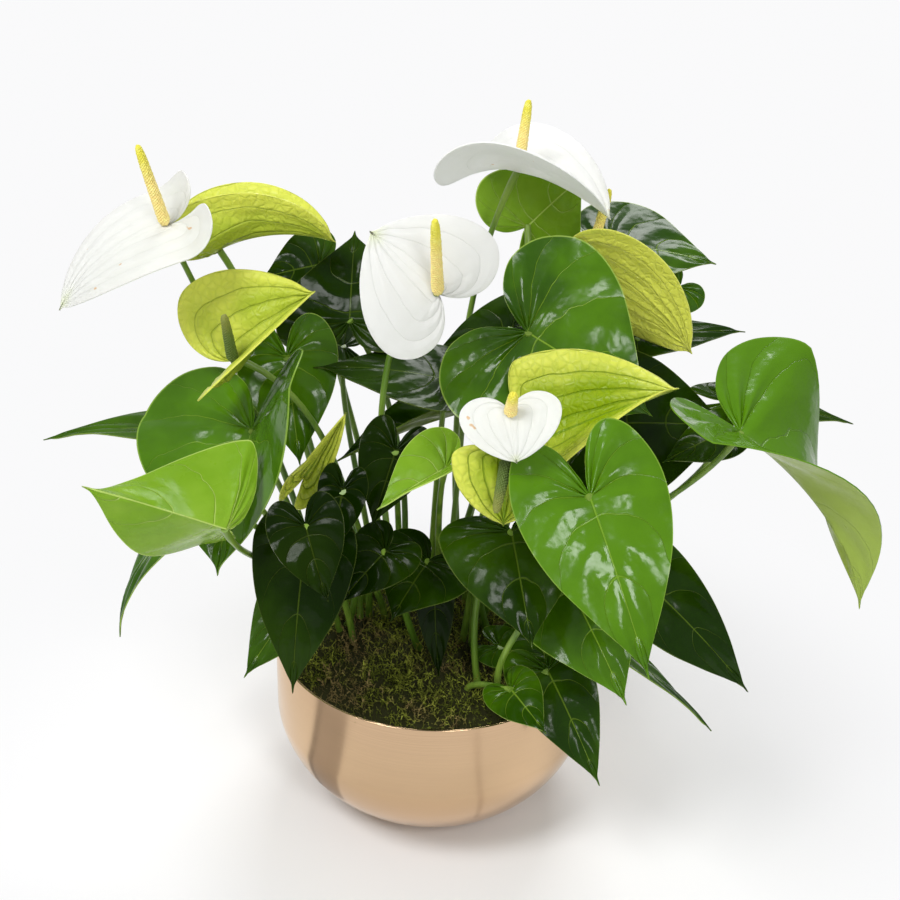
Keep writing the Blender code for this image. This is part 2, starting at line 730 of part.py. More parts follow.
    # right side
    leaf("right_dark", (12.5, -1.0, 34.0), (21.5, 0.0, 33.5), (0.1, -0.65, 0.75), 12.5,
         (4.4, 3.2), droop=20)
    leaf("right_back", (14.5, 6.0, 37.5), (23.0, 8.0, 37.5), (0, -0.2, 1), 5.0,
         (4.6, 5.0), droop=20)
    leaf("right_large", (21.0, -4.0, 35.3), (30.8, -6.6, 22.6), (0.35, -0.55, 0.75), 20.0,
         (7.2, 1.6), droop=68, fold=(0, 42), slim=0.5, lobe=0.65, twist=75)
    leaf("right_far", (22.0, 3.0, 34.0), (31.0, 3.0, 32.5), (0, -0.2, 1), 5.0,
         (6.8, 4.6), droop=20)
    leaf("right_low", (20.0, -2.6, 34.3), (16.0, -3.0, 32.0), (0, -0.5, 0.85), 4.0,
         (6.0, 2.8), droop=20)
    leaf("right_lower", (15.5, -6.0, 23.5), (23.5, -8.0, 15.5), (0.2, -0.7, 0.7), 7.0,
         (7.0, 0.0), droop=25)
    leaf("right_narrow", (12.5, -6.0, 18.5), (21.0, -9.0, 12.5), (0.3, 0.2, 0.9), 4.5,
         (5.6, -0.4), droop=20)
    # front
    leaf("front_glossy", (10.0, -12.5, 34.6), (14.0, -19.0, 25.4), (0.05, -0.85, 0.5), 9.8,
         (5.0, -1.2), droop=30)
    leaf("front_dark", (5.1, -10.0, 30.2), (6.7, -15.5, 24.4), (0, -0.75, 0.65), 10.0,
         (3.8, -7.0), droop=20, lobe=0.5)
    leaf("front_right", (9.0, -9.0, 26.0), (13.5, -15.0, 19.5), (0.05, -0.7, 0.7), 10.0,
         (5.6, -6.8), droop=25)
    leaf("low_small", (5.0, -5.5, 17.0), (9.5, -7.5, 16.5), (0, -0.5, 0.85), 3.5,
         (4.6, -5.6), droop=20)
    leaf("low_front", (5.8, -10.5, 16.9), (8.2, -14.5, 16.3), (0, -0.7, 0.7), 4.2,
         (3.6, -7.8), droop=20)
    leaf("low_right", (8.5, -8.2, 17.0), (12.5, -13.2, 10.5), (0.2, -0.7, 0.6), 6.6,
         (6.4, -7.0), droop=20, lobe=0.7)


def build_flowers():
    """Every flower: the spathe's sinus and tip, and the tip of the spadix."""
    flower("left_white", (-19.3, 0.7, 47.3), (-26.6, -2.0, 41.8), (-0.3, -0.3, 0.9), 9.5,
           (-9.2, 2.4), spadix=(-20.7, -0.3, 53.2), droop=50, lobes=-90)
    flower("left_lime", (-16.5, 4.5, 44.0), (-8.0, 4.5, 45.0), (0, -0.1, 1.0), 9.0,
           (-7.6, 4.8), kind="lime_spathe", droop=50, fold=(50, 75))
    flower("left_green", (-14.8, -0.5, 37.8), (-9.2, 0.5, 42.8), (-0.2, -0.85, 0.5), 12.5,
           (-7.2, 0.1), spadix=(-15.2, -1.9, 41.8), kind="lime_spathe", spadix_kind="green_spadix",
           droop=20, fold=(0, 70), rise=0.0034, lobe=0.8)
    flower("young_rolled", (-9.5, -5.0, 31.0), (-6.5, -5.5, 36.5), (0.3, -0.8, 0.5), 4.0,
           (-5.4, 2.8), kind="lime_spathe", droop=10, fold=(60, 60))
    flower("centre_white", (-0.4, -6.0, 45.8), (-5.0, -5.0, 49.6), (0, -0.85, 0.5), 10.3,
           (0.6, -2.4), spadix=(-0.7, -9.0, 52.0), droop=20)
    flower("top_white", (4.7, 5.0, 50.7), (11.4, 3.0, 48.0), (0, 0, 1), 12.5,
           (2.4, 5.4), spadix=(5.3, 5.5, 55.5), droop=28, fold=(14, 33), lobe=1.35, lobes=58)
    flower("right_lime", (10.0, 4.5, 43.6), (18.0, 1.5, 38.5), (0.35, 0.8, 0.45), 11.0,
           (3.6, 2.0), spadix=(11.5, 6.5, 49.0), kind="lime_spathe", droop=50, lobe=0.6)
    flower("centre_lime", (7.4, -6.3, 35.5), (15.8, -7.0, 40.0), (-0.1, -0.75, 0.6), 11.5,
           (3.4, 0.4), kind="lime_spathe", droop=25, fold=(10, 50), lobe=0.4, twist=40)
    flower("small_white", (4.4, -13.5, 41.2), (4.9, -15.4, 38.6), (0, -0.95, 0.3), 6.4,
           (2.2, -1.4), spadix=(4.5, -14.5, 43.0), droop=20)
    flower("centre_green", (4.5, -10.3, 36.0), (4.5, -11.3, 31.5), (0, -0.8, 0.6), 7.0,
           (3.0, -2.0), spadix=(3.9, -13.3, 33.8), kind="lime_spathe", spadix_kind="green_spadix",
           droop=20, lobe=0.5)


def main():
    clear_scene()
    build_pot()
    build_soil()
    build_moss()
    build_leaves()
    build_flowers()
    grow()


main()
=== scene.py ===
"""Fine looks for a potted anthurium: glossy ribbed leaves, white and lime spathes with their
spadices, a mossy top and a satin metal bowl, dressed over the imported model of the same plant.

Units are metres, +Z is up and the origin is the middle of the bowl's foot. Places of leaves and
flowers are written in centimetres, as in the model's own source.
"""
from math import atan2, cos, hypot, pi, radians, sin

import bmesh
import bpy
import numpy as np
from mathutils import Matrix, Vector
from mathutils.bvhtree import BVHTree


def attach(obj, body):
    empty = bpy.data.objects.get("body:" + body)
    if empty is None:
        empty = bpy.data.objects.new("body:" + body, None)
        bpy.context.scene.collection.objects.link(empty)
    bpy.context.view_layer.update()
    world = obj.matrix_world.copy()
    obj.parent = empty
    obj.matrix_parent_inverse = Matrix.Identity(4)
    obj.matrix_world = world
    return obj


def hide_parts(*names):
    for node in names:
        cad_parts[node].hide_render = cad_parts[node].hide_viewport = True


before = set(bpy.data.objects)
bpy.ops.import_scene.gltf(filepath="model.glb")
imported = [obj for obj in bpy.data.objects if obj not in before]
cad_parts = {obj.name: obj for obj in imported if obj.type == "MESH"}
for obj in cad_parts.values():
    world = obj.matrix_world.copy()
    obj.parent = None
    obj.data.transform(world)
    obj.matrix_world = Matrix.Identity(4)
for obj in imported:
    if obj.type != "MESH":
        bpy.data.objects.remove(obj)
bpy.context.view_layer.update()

bl_info = {
    "name": "Potted Anthurium",
    "version": (1, 0, 0),
    "blender": (4, 5, 0),
    "location": "3D View > Sidebar > Anthurium",
    "description": "Dresses the anthurium model with fine leaves, flowers, moss and metal",
    "category": "Object",
}

# Bowl, soil and moss, as in the model
RIM_RADIUS = 0.125
POT_HEIGHT = 0.145
WALL = 0.002
FOOT_SHARE = 0.38        # radius of the flat foot, as a share of the rim's
STRAIGHT_SHARE = 0.5     # height of the upright part of the wall, in rim radii
ROUNDNESS = 1.7          # exponent of the curve between wall and foot; 2 is an ellipse
SOIL_TOP = 0.128
MOSS_EDGE = 0.140        # height of the moss where it meets the wall
MOSS_RISE = 0.010        # how much higher the moss is towards the crowns
MOSS_BUMP = 0.0025
GAP = 0.0003

# Leaves and flowers, as in the model
BLADE_THICKNESS = 0.0010
BLADE_ROWS = 9
BLADE_COLUMNS = 2        # between the midrib and the edge
STALK_TOP_RADIUS = 0.0021
SPADIX_RADIUS = 0.0042
FRONT = Vector((0.0, -0.95, 0.84))   # the blades crowd towards this place before the plant
SPREAD_CLEARANCE = 0.0032
SPREAD_STEP = 0.003
SPREAD_TURNS = 200
COVER_REACH = 0.06       # how far before or behind a blade its neighbours count
SMALLEST_PUSH = 0.0005
NECK = 0.03              # length of the stalk's top that keeps clear with its blade
JOINT_INSET = 0.001      # how far before the sinus the stalk and the spadix meet the blade
LOW_KNOT = 0.35          # where a stalk bends, as shares of its length from the foot ...
HIGH_KNOT = 0.25         # ... and from its end
VEIN_SWEEP = 1.3         # exponent of the curve in which a side vein leaves the midrib
LOBE_REACH = 0.4         # how far the lobes reach behind the sinus, as a share of the length
EASED_FOLD = 0.25        # share of the fold at the sinus of a spathe ...
EASE_REACH = 0.4         # ... and how far from it the fold is full
SPADIX_SHARES = (0.0, 0.12, 0.45, 0.8, 0.95, 1.0)   # points along a spadix

# Half outlines from the tip to the sinus: share of the half width, share of the length, and the
# share of the length where the vein that ends there leaves the midrib
LEAF_OUTLINE = [
    (0.000, 1.00, 1.00), (0.035, 0.93, 0.90), (0.16, 0.83, 0.77), (0.46, 0.63, 0.53),
    (0.80, 0.37, 0.27), (0.98, 0.10, 0.07), (0.98, -0.12, 0.0), (0.80, -0.31, 0.0),
    (0.50, -0.38, 0.0), (0.21, -0.29, 0.0), (0.05, -0.12, 0.0), (0.0, 0.0, 0.0),
]
SPATHE_OUTLINE = [
    (0.000, 1.00, 1.00), (0.05, 0.96, 0.90), (0.28, 0.88, 0.77), (0.60, 0.69, 0.53),
    (0.87, 0.42, 0.27), (1.00, 0.12, 0.07), (0.97, -0.12, 0.0), (0.78, -0.30, 0.0),
    (0.50, -0.36, 0.0), (0.24, -0.28, 0.0), (0.07, -0.13, 0.0), (0.0, 0.0, 0.0),
]
# Openings in the moss round the crowns: centre and half sizes
CROWN_OPENINGS = [
    (-0.010, 0.025, 0.096, 0.062),
    (0.049, -0.071, 0.028, 0.022),
]

# Grid and relief of the fine blades; heights are shares of the blade's length. Veins are side
# veins that bend towards the tip, and arcs are the veins beside the midrib of a spathe.
LEAF_STYLE = {"rows": 64, "columns": 12, "veins": 8, "bend": 0.10, "arcs": 0, "waves": 2.5,
              "ripple": 0.010, "puff": 0.0085, "groove": 0.006}
SPATHE_STYLE = {"rows": 64, "columns": 16, "veins": 9, "bend": 0.0, "arcs": 3.5, "waves": 1.5,
                "ripple": 0.008, "puff": 0.004, "groove": 0.004}
LIME_STYLE = {**SPATHE_STYLE, "puff": 0.010}
STYLES = {"leaf": LEAF_STYLE, "young_leaf": LEAF_STYLE, "white_spathe": SPATHE_STYLE,
          "lime_spathe": LIME_STYLE}
PHASE_STEP = 1.7         # by how much the ripple of each blade is shifted against the last one's
STALK_STEPS = 25
FLOWERS_PER_METRE = 9000     # along a spadix
MOUND_DEPTH = 0.004      # how far the ground under the moss lies below the moss of the model

# Finishes
NOISE_ROUGHNESS = 0.55
SUBSURFACE_DEPTH = 0.003
GOLDEN_ANGLE = 2.399963  # between the flowers of a spadix, so that they never line up

# Stage
PLANT_MIDDLE = Vector((0.0, 0.0, 0.28))
FAR_FLOOR_GLOW = (0.955, 0.955, 0.962, 1.0)
# Dark cards: name, side, first and last angle from the front in degrees, share of their colour
CARDS = (("left_card", -1.0, 49, 67, 1.60), ("left_line", -1.0, 67, 71, 1.05),
         ("right_card", 1.0, 25, 28, 2.4))
CARD_REACH = (0.10, 0.90)
CARD_HEIGHT = 0.0008
CAMERA_DOWN = 29.4       # degrees
CAMERA_ROLL = 2.05
CAMERA_PLACE = Vector((0.058 * RIM_RADIUS, -7.604 * RIM_RADIUS, 5.583 * RIM_RADIUS + POT_HEIGHT))

PLANT = []               # filled by build_leaves and build_flowers
FINISHES = {}            # filled by finishes


def wall_radius(height, inset):
    """Radius of the bowl's wall at a height, moved inwards by the inset."""
    bend = POT_HEIGHT - STRAIGHT_SHARE * RIM_RADIUS
    if height >= bend:
        return RIM_RADIUS - inset
    share = min(1.0, max(0.0, (bend - height) / (bend - inset)))
    rounded = (1.0 - share ** ROUNDNESS) ** (1.0 / ROUNDNESS)
    foot = FOOT_SHARE * RIM_RADIUS - inset
    return foot + (RIM_RADIUS - inset - foot) * rounded


def wall_profile(inset, top, steps):
    """Points (radius, height) from the top of the wall down to the foot."""
    bend = POT_HEIGHT - STRAIGHT_SHARE * RIM_RADIUS
    points = [(RIM_RADIUS - inset, top)]
    for i in range(steps + 1):
        height = inset + (bend - inset) * cos(0.5 * pi * i / steps)
        points.append((wall_radius(height, inset), height))
    return points


def moss_height(x, y):
    inward = 1.0 - hypot(x, y) / RIM_RADIUS
    lump = sin(95 * x + 1.3) * cos(110 * y) + 0.6 * sin(170 * x - 140 * y)
    return MOSS_EDGE + MOSS_RISE * min(1.0, 2.0 * inward) + MOSS_BUMP * lump * min(1.0, 8.0 * inward)


def spline(points, count):
    """Points evenly spaced in parameter on a Catmull-Rom curve; the last value stays linear."""
    first = [2 * a - b for a, b in zip(points[0], points[1])]
    last = [2 * a - b for a, b in zip(points[-1], points[-2])]
    padded = [first, *points, last]
    result = []
    for i in range(count):
        place = (len(points) - 1) * i / (count - 1)
        k = min(int(place), len(points) - 2)
        t = place - k
        a, b, c, d = padded[k:k + 4]
        x, y = (
            0.5 * (2 * q + (r - p) * t + (2 * p - 5 * q + 4 * r - s) * t * t
                   + (3 * q - p - 3 * r + s) * t ** 3)
            for p, q, r, s in list(zip(a, b, c, d))[:2]
        )
        result.append((max(0.0, x), y, b[2] + (c[2] - b[2]) * t))
    result[0], result[-1] = points[0], points[-1]
    return result


class Midrib:
    """A line that leaves the sinus straight, bends down by the droop, and lifts the lobes behind."""

    STEP = 0.01

    def __init__(self, droop, lobes):
        self.droop = radians(droop)
        self.lobes = radians(lobes)
        self.forward = self.walk(1.0)
        self.backward = self.walk(-0.6)

    def angle(self, share):
        if share >= 0:
            return -self.droop * share
        return self.lobes * -share / LOBE_REACH

    def walk(self, reach):
        points = [(0.0, 0.0)]
        steps = round(abs(reach) / self.STEP)
        step = reach / steps
        for i in range(steps):
            turn = self.angle((i + 0.5) * step)
            x, y = points[-1]
            points.append((x + step * cos(turn), y + step * sin(turn)))
        return points

    def place(self, share):
        points = self.forward if share >= 0 else self.backward
        where = min(abs(share) / self.STEP, len(points) - 1.001)
        k = int(where)
        t = where - k
        (a, b), (c, d) = points[k], points[k + 1]
        return a + (c - a) * t, b + (d - b) * t


class Blade:
    """The surface of a leaf or spathe between its sinus and its tip.

    face is the side that its upper surface looks to; fold turns each half (left, right) up from
    the midrib; cup curls it further towards the edge; slim narrows it towards the tip; lobe
    shortens the lobes behind the sinus; eased keeps the fold low round the sinus."""

    def __init__(self, sinus, tip, face, width, outline, droop=20, lobes=0, fold=(0, 0),
                 cup=(0, 0), twist=0, slim=0.0, lobe=1.0, eased=False):
        self.sinus = Vector(sinus) / 100
        self.outline = outline
        self.half = width / 200
        self.midrib = Midrib(droop, lobes)
        self.fold = fold
        self.cup = cup
        self.twist = radians(twist)
        self.slim = slim
        self.lobe = lobe
        self.eased = eased
        chord = Vector(tip) / 100 - self.sinus
        x, y = self.midrib.place(1.0)
        self.length = chord.length / hypot(x, y)
        chord.normalize()
        face = Vector(face)
        normal = (face - chord * face.dot(chord)).normalized()
        lean = atan2(y, x)
        self.along = chord * cos(lean) - normal * sin(lean)
        self.up = chord * sin(lean) + normal * cos(lean)
        self.across = self.along.cross(self.up)

    def point(self, side, share, width_share, length_share, root_share):
        """A point on one half: share runs from the midrib (0) to the edge (1)."""
        if length_share < 0:
            length_share *= self.lobe
        reach = length_share - root_share
        y = root_share + reach * share ** VEIN_SWEEP
        x = width_share * share * (1.0 - self.slim * min(1.0, max(0.0, y)))
        which = 0 if side < 0 else 1
        fold, cup = radians(self.fold[which]), radians(self.cup[which])
        if self.eased:
            away = hypot(x * self.half / self.length, y)
            fold *= EASED_FOLD + (1 - EASED_FOLD) * min(1.0, away / EASE_REACH)
        if abs(cup) < 1e-4:
            out, lift = x * self.half * cos(fold), x * self.half * sin(fold)
        else:
            radius = self.half / cup
            out = radius * (sin(fold + x * cup) - sin(fold))
            lift = -radius * (cos(fold + x * cup) - cos(fold))
        turn = self.twist * min(1.0, max(0.0, y))
        out, lift = (
            side * out * cos(turn) - lift * sin(turn),
            side * out * sin(turn) + lift * cos(turn),
        )
        cx, cy = self.midrib.place(y)
        bend = self.midrib.angle(y)
        normal = self.up * cos(bend) - self.along * sin(bend)
        middle = self.sinus + (self.along * cx + self.up * cy) * self.length
        return middle + self.across * out + normal * lift

    def surface(self):
        """The open surface, one face deep, as a bmesh."""
        bm = bmesh.new()
        rows = spline(self.outline, BLADE_ROWS)
        sinus = bm.verts.new(self.sinus)
        spine = []
        for w, l, root in rows:
            if root < 1e-4:
                spine.append(sinus)
            else:
                spine.append(bm.verts.new(self.point(1, 0.0, w, l, root)))
        for side in (1, -1):
            grid = []
            for row, (w, l, root) in enumerate(rows):
                if row in (0, len(rows) - 1):
                    grid.append([spine[row]] * (BLADE_COLUMNS + 1))
                    continue
                line = [spine[row]]
                for k in range(1, BLADE_COLUMNS + 1):
                    line.append(bm.verts.new(self.point(side, k / BLADE_COLUMNS, w, l, root)))
                grid.append(line)
            for a, b in zip(grid, grid[1:]):
                for k in range(BLADE_COLUMNS):
                    corners = []
                    for v in (a[k], b[k], b[k + 1], a[k + 1]):
                        if v not in corners:
                            corners.append(v)
                    if side < 0:
                        corners.reverse()
                    if len(corners) > 2:
                        bm.faces.new(corners)
        return bm


def bezier(a, b, c, d, t):
    s = 1 - t
    point = a * s ** 3 + b * 3 * s * s * t + c * 3 * s * t * t + d * t ** 3
    heading = (b - a) * 3 * s * s + (c - b) * 6 * s * t + (d - c) * 3 * t * t
    return point, heading.normalized()


class Shape:
    """One blade with the top of its stalk and its spadix, as a search tree that can be shifted."""

    def __init__(self, bm):
        bmesh.ops.recalc_face_normals(bm, faces=bm.faces)
        self.tree = BVHTree.FromBMesh(bm)
        points = [v.co for v in bm.verts]
        points += [f.calc_center_median() for f in bm.faces]
        points += [(e.verts[0].co + e.verts[1].co) / 2 for e in bm.edges]
        self.points = np.array(points)
        self.forward = (FRONT - Vector(self.points.mean(axis=0))).normalized()
        self.shift = Vector((0.0, 0.0, 0.0))

    def low(self):
        return self.points.min(axis=0) + np.array(self.shift)

    def high(self):
        return self.points.max(axis=0) + np.array(self.shift)

    def near(self, points, distance):
        """Those of the points, in the plant's frame, that lie within the distance of the shape."""
        inside = (points > self.low() - distance) & (points < self.high() + distance)
        found = []
        for point in points[inside.all(axis=1)]:
            if self.tree.find_nearest(Vector(point) - self.shift, distance)[0]:
                found.append(point)
        return found


def front_gaps(one, other):
    """Distances by which the other shape stands before one, where the two cover each other."""
    gaps = []
    base = np.array(one.shift)
    inside = one.points + base
    low, high = other.low() - COVER_REACH, other.high() + COVER_REACH
    for point in inside[((inside > low) & (inside < high)).all(axis=1)]:
        start = Vector(point) - other.shift
        forward = (FRONT - Vector(point)).normalized()
        ahead = other.tree.ray_cast(start, forward, COVER_REACH)[3]
        behind = other.tree.ray_cast(start, -forward, COVER_REACH)[3]
        if ahead is not None and (behind is None or ahead < behind):
            gaps.append(ahead)
        elif behind is not None:
            gaps.append(-behind)
    return gaps


def spread(shapes):
    """Shift blades forwards and back until none comes too close to another."""
    for _ in range(SPREAD_TURNS):
        pushes = [0.0] * len(shapes)
        for i, one in enumerate(shapes):
            for k in range(i + 1, len(shapes)):
                other = shapes[k]
                room = SPREAD_CLEARANCE
                if (one.low() > other.high() + room).any() or (other.low() > one.high() + room).any():
                    continue
                base, there = np.array(one.shift), np.array(other.shift)
                if not (other.near(one.points + base, room) or one.near(other.points + there, room)):
                    continue
                gaps = front_gaps(one, other) + [-g for g in front_gaps(other, one)]
                order = 1.0 if sum(gaps) >= 0 else -1.0
                worst = min((order * g for g in gaps), default=0.0)
                push = min(SPREAD_STEP, max(SMALLEST_PUSH, 0.5 * (room - worst)))
                pushes[i] -= order * push
                pushes[k] += order * push
        if not any(pushes):
            break
        for shape, push in zip(shapes, pushes):
            shape.shift += shape.forward * max(-SPREAD_STEP, min(SPREAD_STEP, push))


class Space:
    """What the plant already fills, so that a new stalk can bend round it."""

    SAMPLES = 60
    CLEAR_OF_BLADE = 0.0040
    CLEAR_OF_STALK = 0.0066
    CLEAR_OF_MOSS = 0.0036

    def __init__(self, shapes):
        self.shapes = shapes
        self.stalks = np.empty((0, 3))
        self.bends = bends()

    def near_moss(self, points):
        """How many points run into the moss or the bowl instead of an opening round a crown."""
        low = points[points[:, 2] < MOSS_EDGE + MOSS_RISE + 2 * MOSS_BUMP + self.CLEAR_OF_MOSS]
        free = np.zeros(len(low), bool)
        for x, y, long, wide in CROWN_OPENINGS:
            across = (low[:, 0] - x) / (long - self.CLEAR_OF_MOSS)
            deep = (low[:, 1] - y) / (wide - self.CLEAR_OF_MOSS)
            free |= across ** 2 + deep ** 2 < 1.0
        return int((~free).sum())

    def near_stalks(self, points):
        if not len(self.stalks):
            return 0
        gaps = np.linalg.norm(points[:, None] - self.stalks[None], axis=2)
        return int((gaps.min(axis=1) < self.CLEAR_OF_STALK).sum())

    def conflict(self, own, points, limit):
        """How many points of the route lie too close to something else, counted up to the limit."""
        bad = self.near_moss(points) + self.near_stalks(points)
        for shape in self.shapes:
            if bad >= limit:
                break
            if shape is not own:
                bad += len(shape.near(points, self.CLEAR_OF_BLADE))
        return bad


def ring_of(size, count):
    return [Vector((size * cos(2 * pi * k / count), size * sin(2 * pi * k / count), 0.0))
            for k in range(count)]


def bends():
    """Shifts of a stalk's foot and its sideways bends (low, high), the slightest first."""
    none = Vector((0.0, 0.0, 0.0))
    sides = []
    for size in (0.008, 0.016, 0.026, 0.038, 0.052, 0.070):
        for side in ring_of(size, 8):
            sides += [(side, side), (none, side), (side, none), (side, -side)]
    choices = [(none, none, none)] + [(none, low, high) for low, high in sides]
    for step in (0.006, 0.012, 0.018):
        for foot in ring_of(step, 6):
            choices += [(foot, foot + low, high) for low, high in sides[::2]]
    return choices


def stalk_end(piece):
    """The stalk's foot, the way from there to the blade, its end, and the heading it ends in."""
    blade = piece["blade"]
    foot = Vector((piece["foot"][0] / 100, piece["foot"][1] / 100, SOIL_TOP + GAP))
    way = (blade.sinus - foot).normalized()
    end = blade.sinus + blade.along * JOINT_INSET + blade.up * piece["lift"]
    coming = (way * (1 - piece["arrive"]) + blade.up * piece["arrive"]).normalized()
    return foot, way, end, coming


def stalk_route(space, piece):
    """The knots of the stalk's curve, from its foot on the soil to the sinus."""
    foot, way, end, coming = stalk_end(piece)
    length = (end - foot).length
    start = (way + Vector((0, 0, 1))).normalized()
    low = foot + start * length * LOW_KNOT
    high = end - coming * length * HIGH_KNOT
    best, fewest = None, 1000
    for step, bend_low, bend_high in space.bends:
        knots = (foot + step, low + bend_low, high + bend_high, end)
        route = np.array([bezier(*knots, i / space.SAMPLES)[0] for i in range(space.SAMPLES + 1)])
        score = space.conflict(piece["shape"], route, fewest)
        if score < fewest:
            best, fewest = (knots, route), score
        if score == 0:
            break
    space.stalks = np.vstack([space.stalks, best[1]])
    return best[0]


def leaf(name, sinus, tip, face, width, foot, kind="leaf", tone=0.0, **shape):
    """A leaf on its stalk; tone is how light (above 0) or dark (below 0) it is among its kind, partly its
    own colour and partly painted light and shade.
    """
    blade = Blade(sinus, tip, face, width, LEAF_OUTLINE, **shape)
    PLANT.append({"name": "leaf_" + name, "blade": blade, "foot": foot, "kind": kind, "tone": tone,
                  "lift": 0.0004, "arrive": 0.4, "spadix": None})


def flower(name, sinus, tip, face, width, foot, spadix=None, kind="white_spathe",
           spadix_kind="spadix", rise=0.0, tone=0.0, **shape):
    """A spathe on its stalk, and the spadix that stands on it, from the sinus to its own tip."""
    blade = Blade(sinus, tip, face, width, SPATHE_OUTLINE, eased=True, **shape)
    PLANT.append({"name": "spathe_" + name, "blade": blade, "foot": foot, "kind": kind,
                  "tone": tone, "lift": -0.0001, "arrive": 0.9, "spadix": spadix,
                  "spadix_name": "spadix_" + name, "spadix_kind": spadix_kind, "rise": rise})


def finger(piece):
    """Points along the spadix, from the spathe to its tip."""
    blade = piece["blade"]
    base = blade.sinus + blade.along * JOINT_INSET
    base = base + blade.up * (0.5 * BLADE_THICKNESS + 2 * GAP + piece["rise"])
    return [base.lerp(Vector(piece["spadix"]) / 100, share) for share in SPADIX_SHARES]


def add_rod(bm, path, radius):
    """A thin three-sided rod through the points, open at its ends."""
    rings = []
    for point in path:
        ring = []
        for k in range(3):
            angle = 2 * pi * k / 3
            ring.append(bm.verts.new(point + Vector((cos(angle), sin(angle), 0.0)) * radius))
        rings.append(ring)
    for a, b in zip(rings, rings[1:]):
        for k in range(3):
            n = (k + 1) % 3
            bm.faces.new((a[k], a[n], b[n], b[k]))


def shape_of(piece):
    """The blade, the top of its stalk and its spadix, for finding room between the pieces."""
    bm = piece["blade"].surface()
    _, _, end, coming = stalk_end(piece)
    add_rod(bm, [end - coming * NECK * (1 + i) / 4 for i in range(4)], STALK_TOP_RADIUS)
    if piece["spadix"]:
        add_rod(bm, finger(piece)[1:], SPADIX_RADIUS)
    shape = Shape(bm)
    bm.free()
    return shape


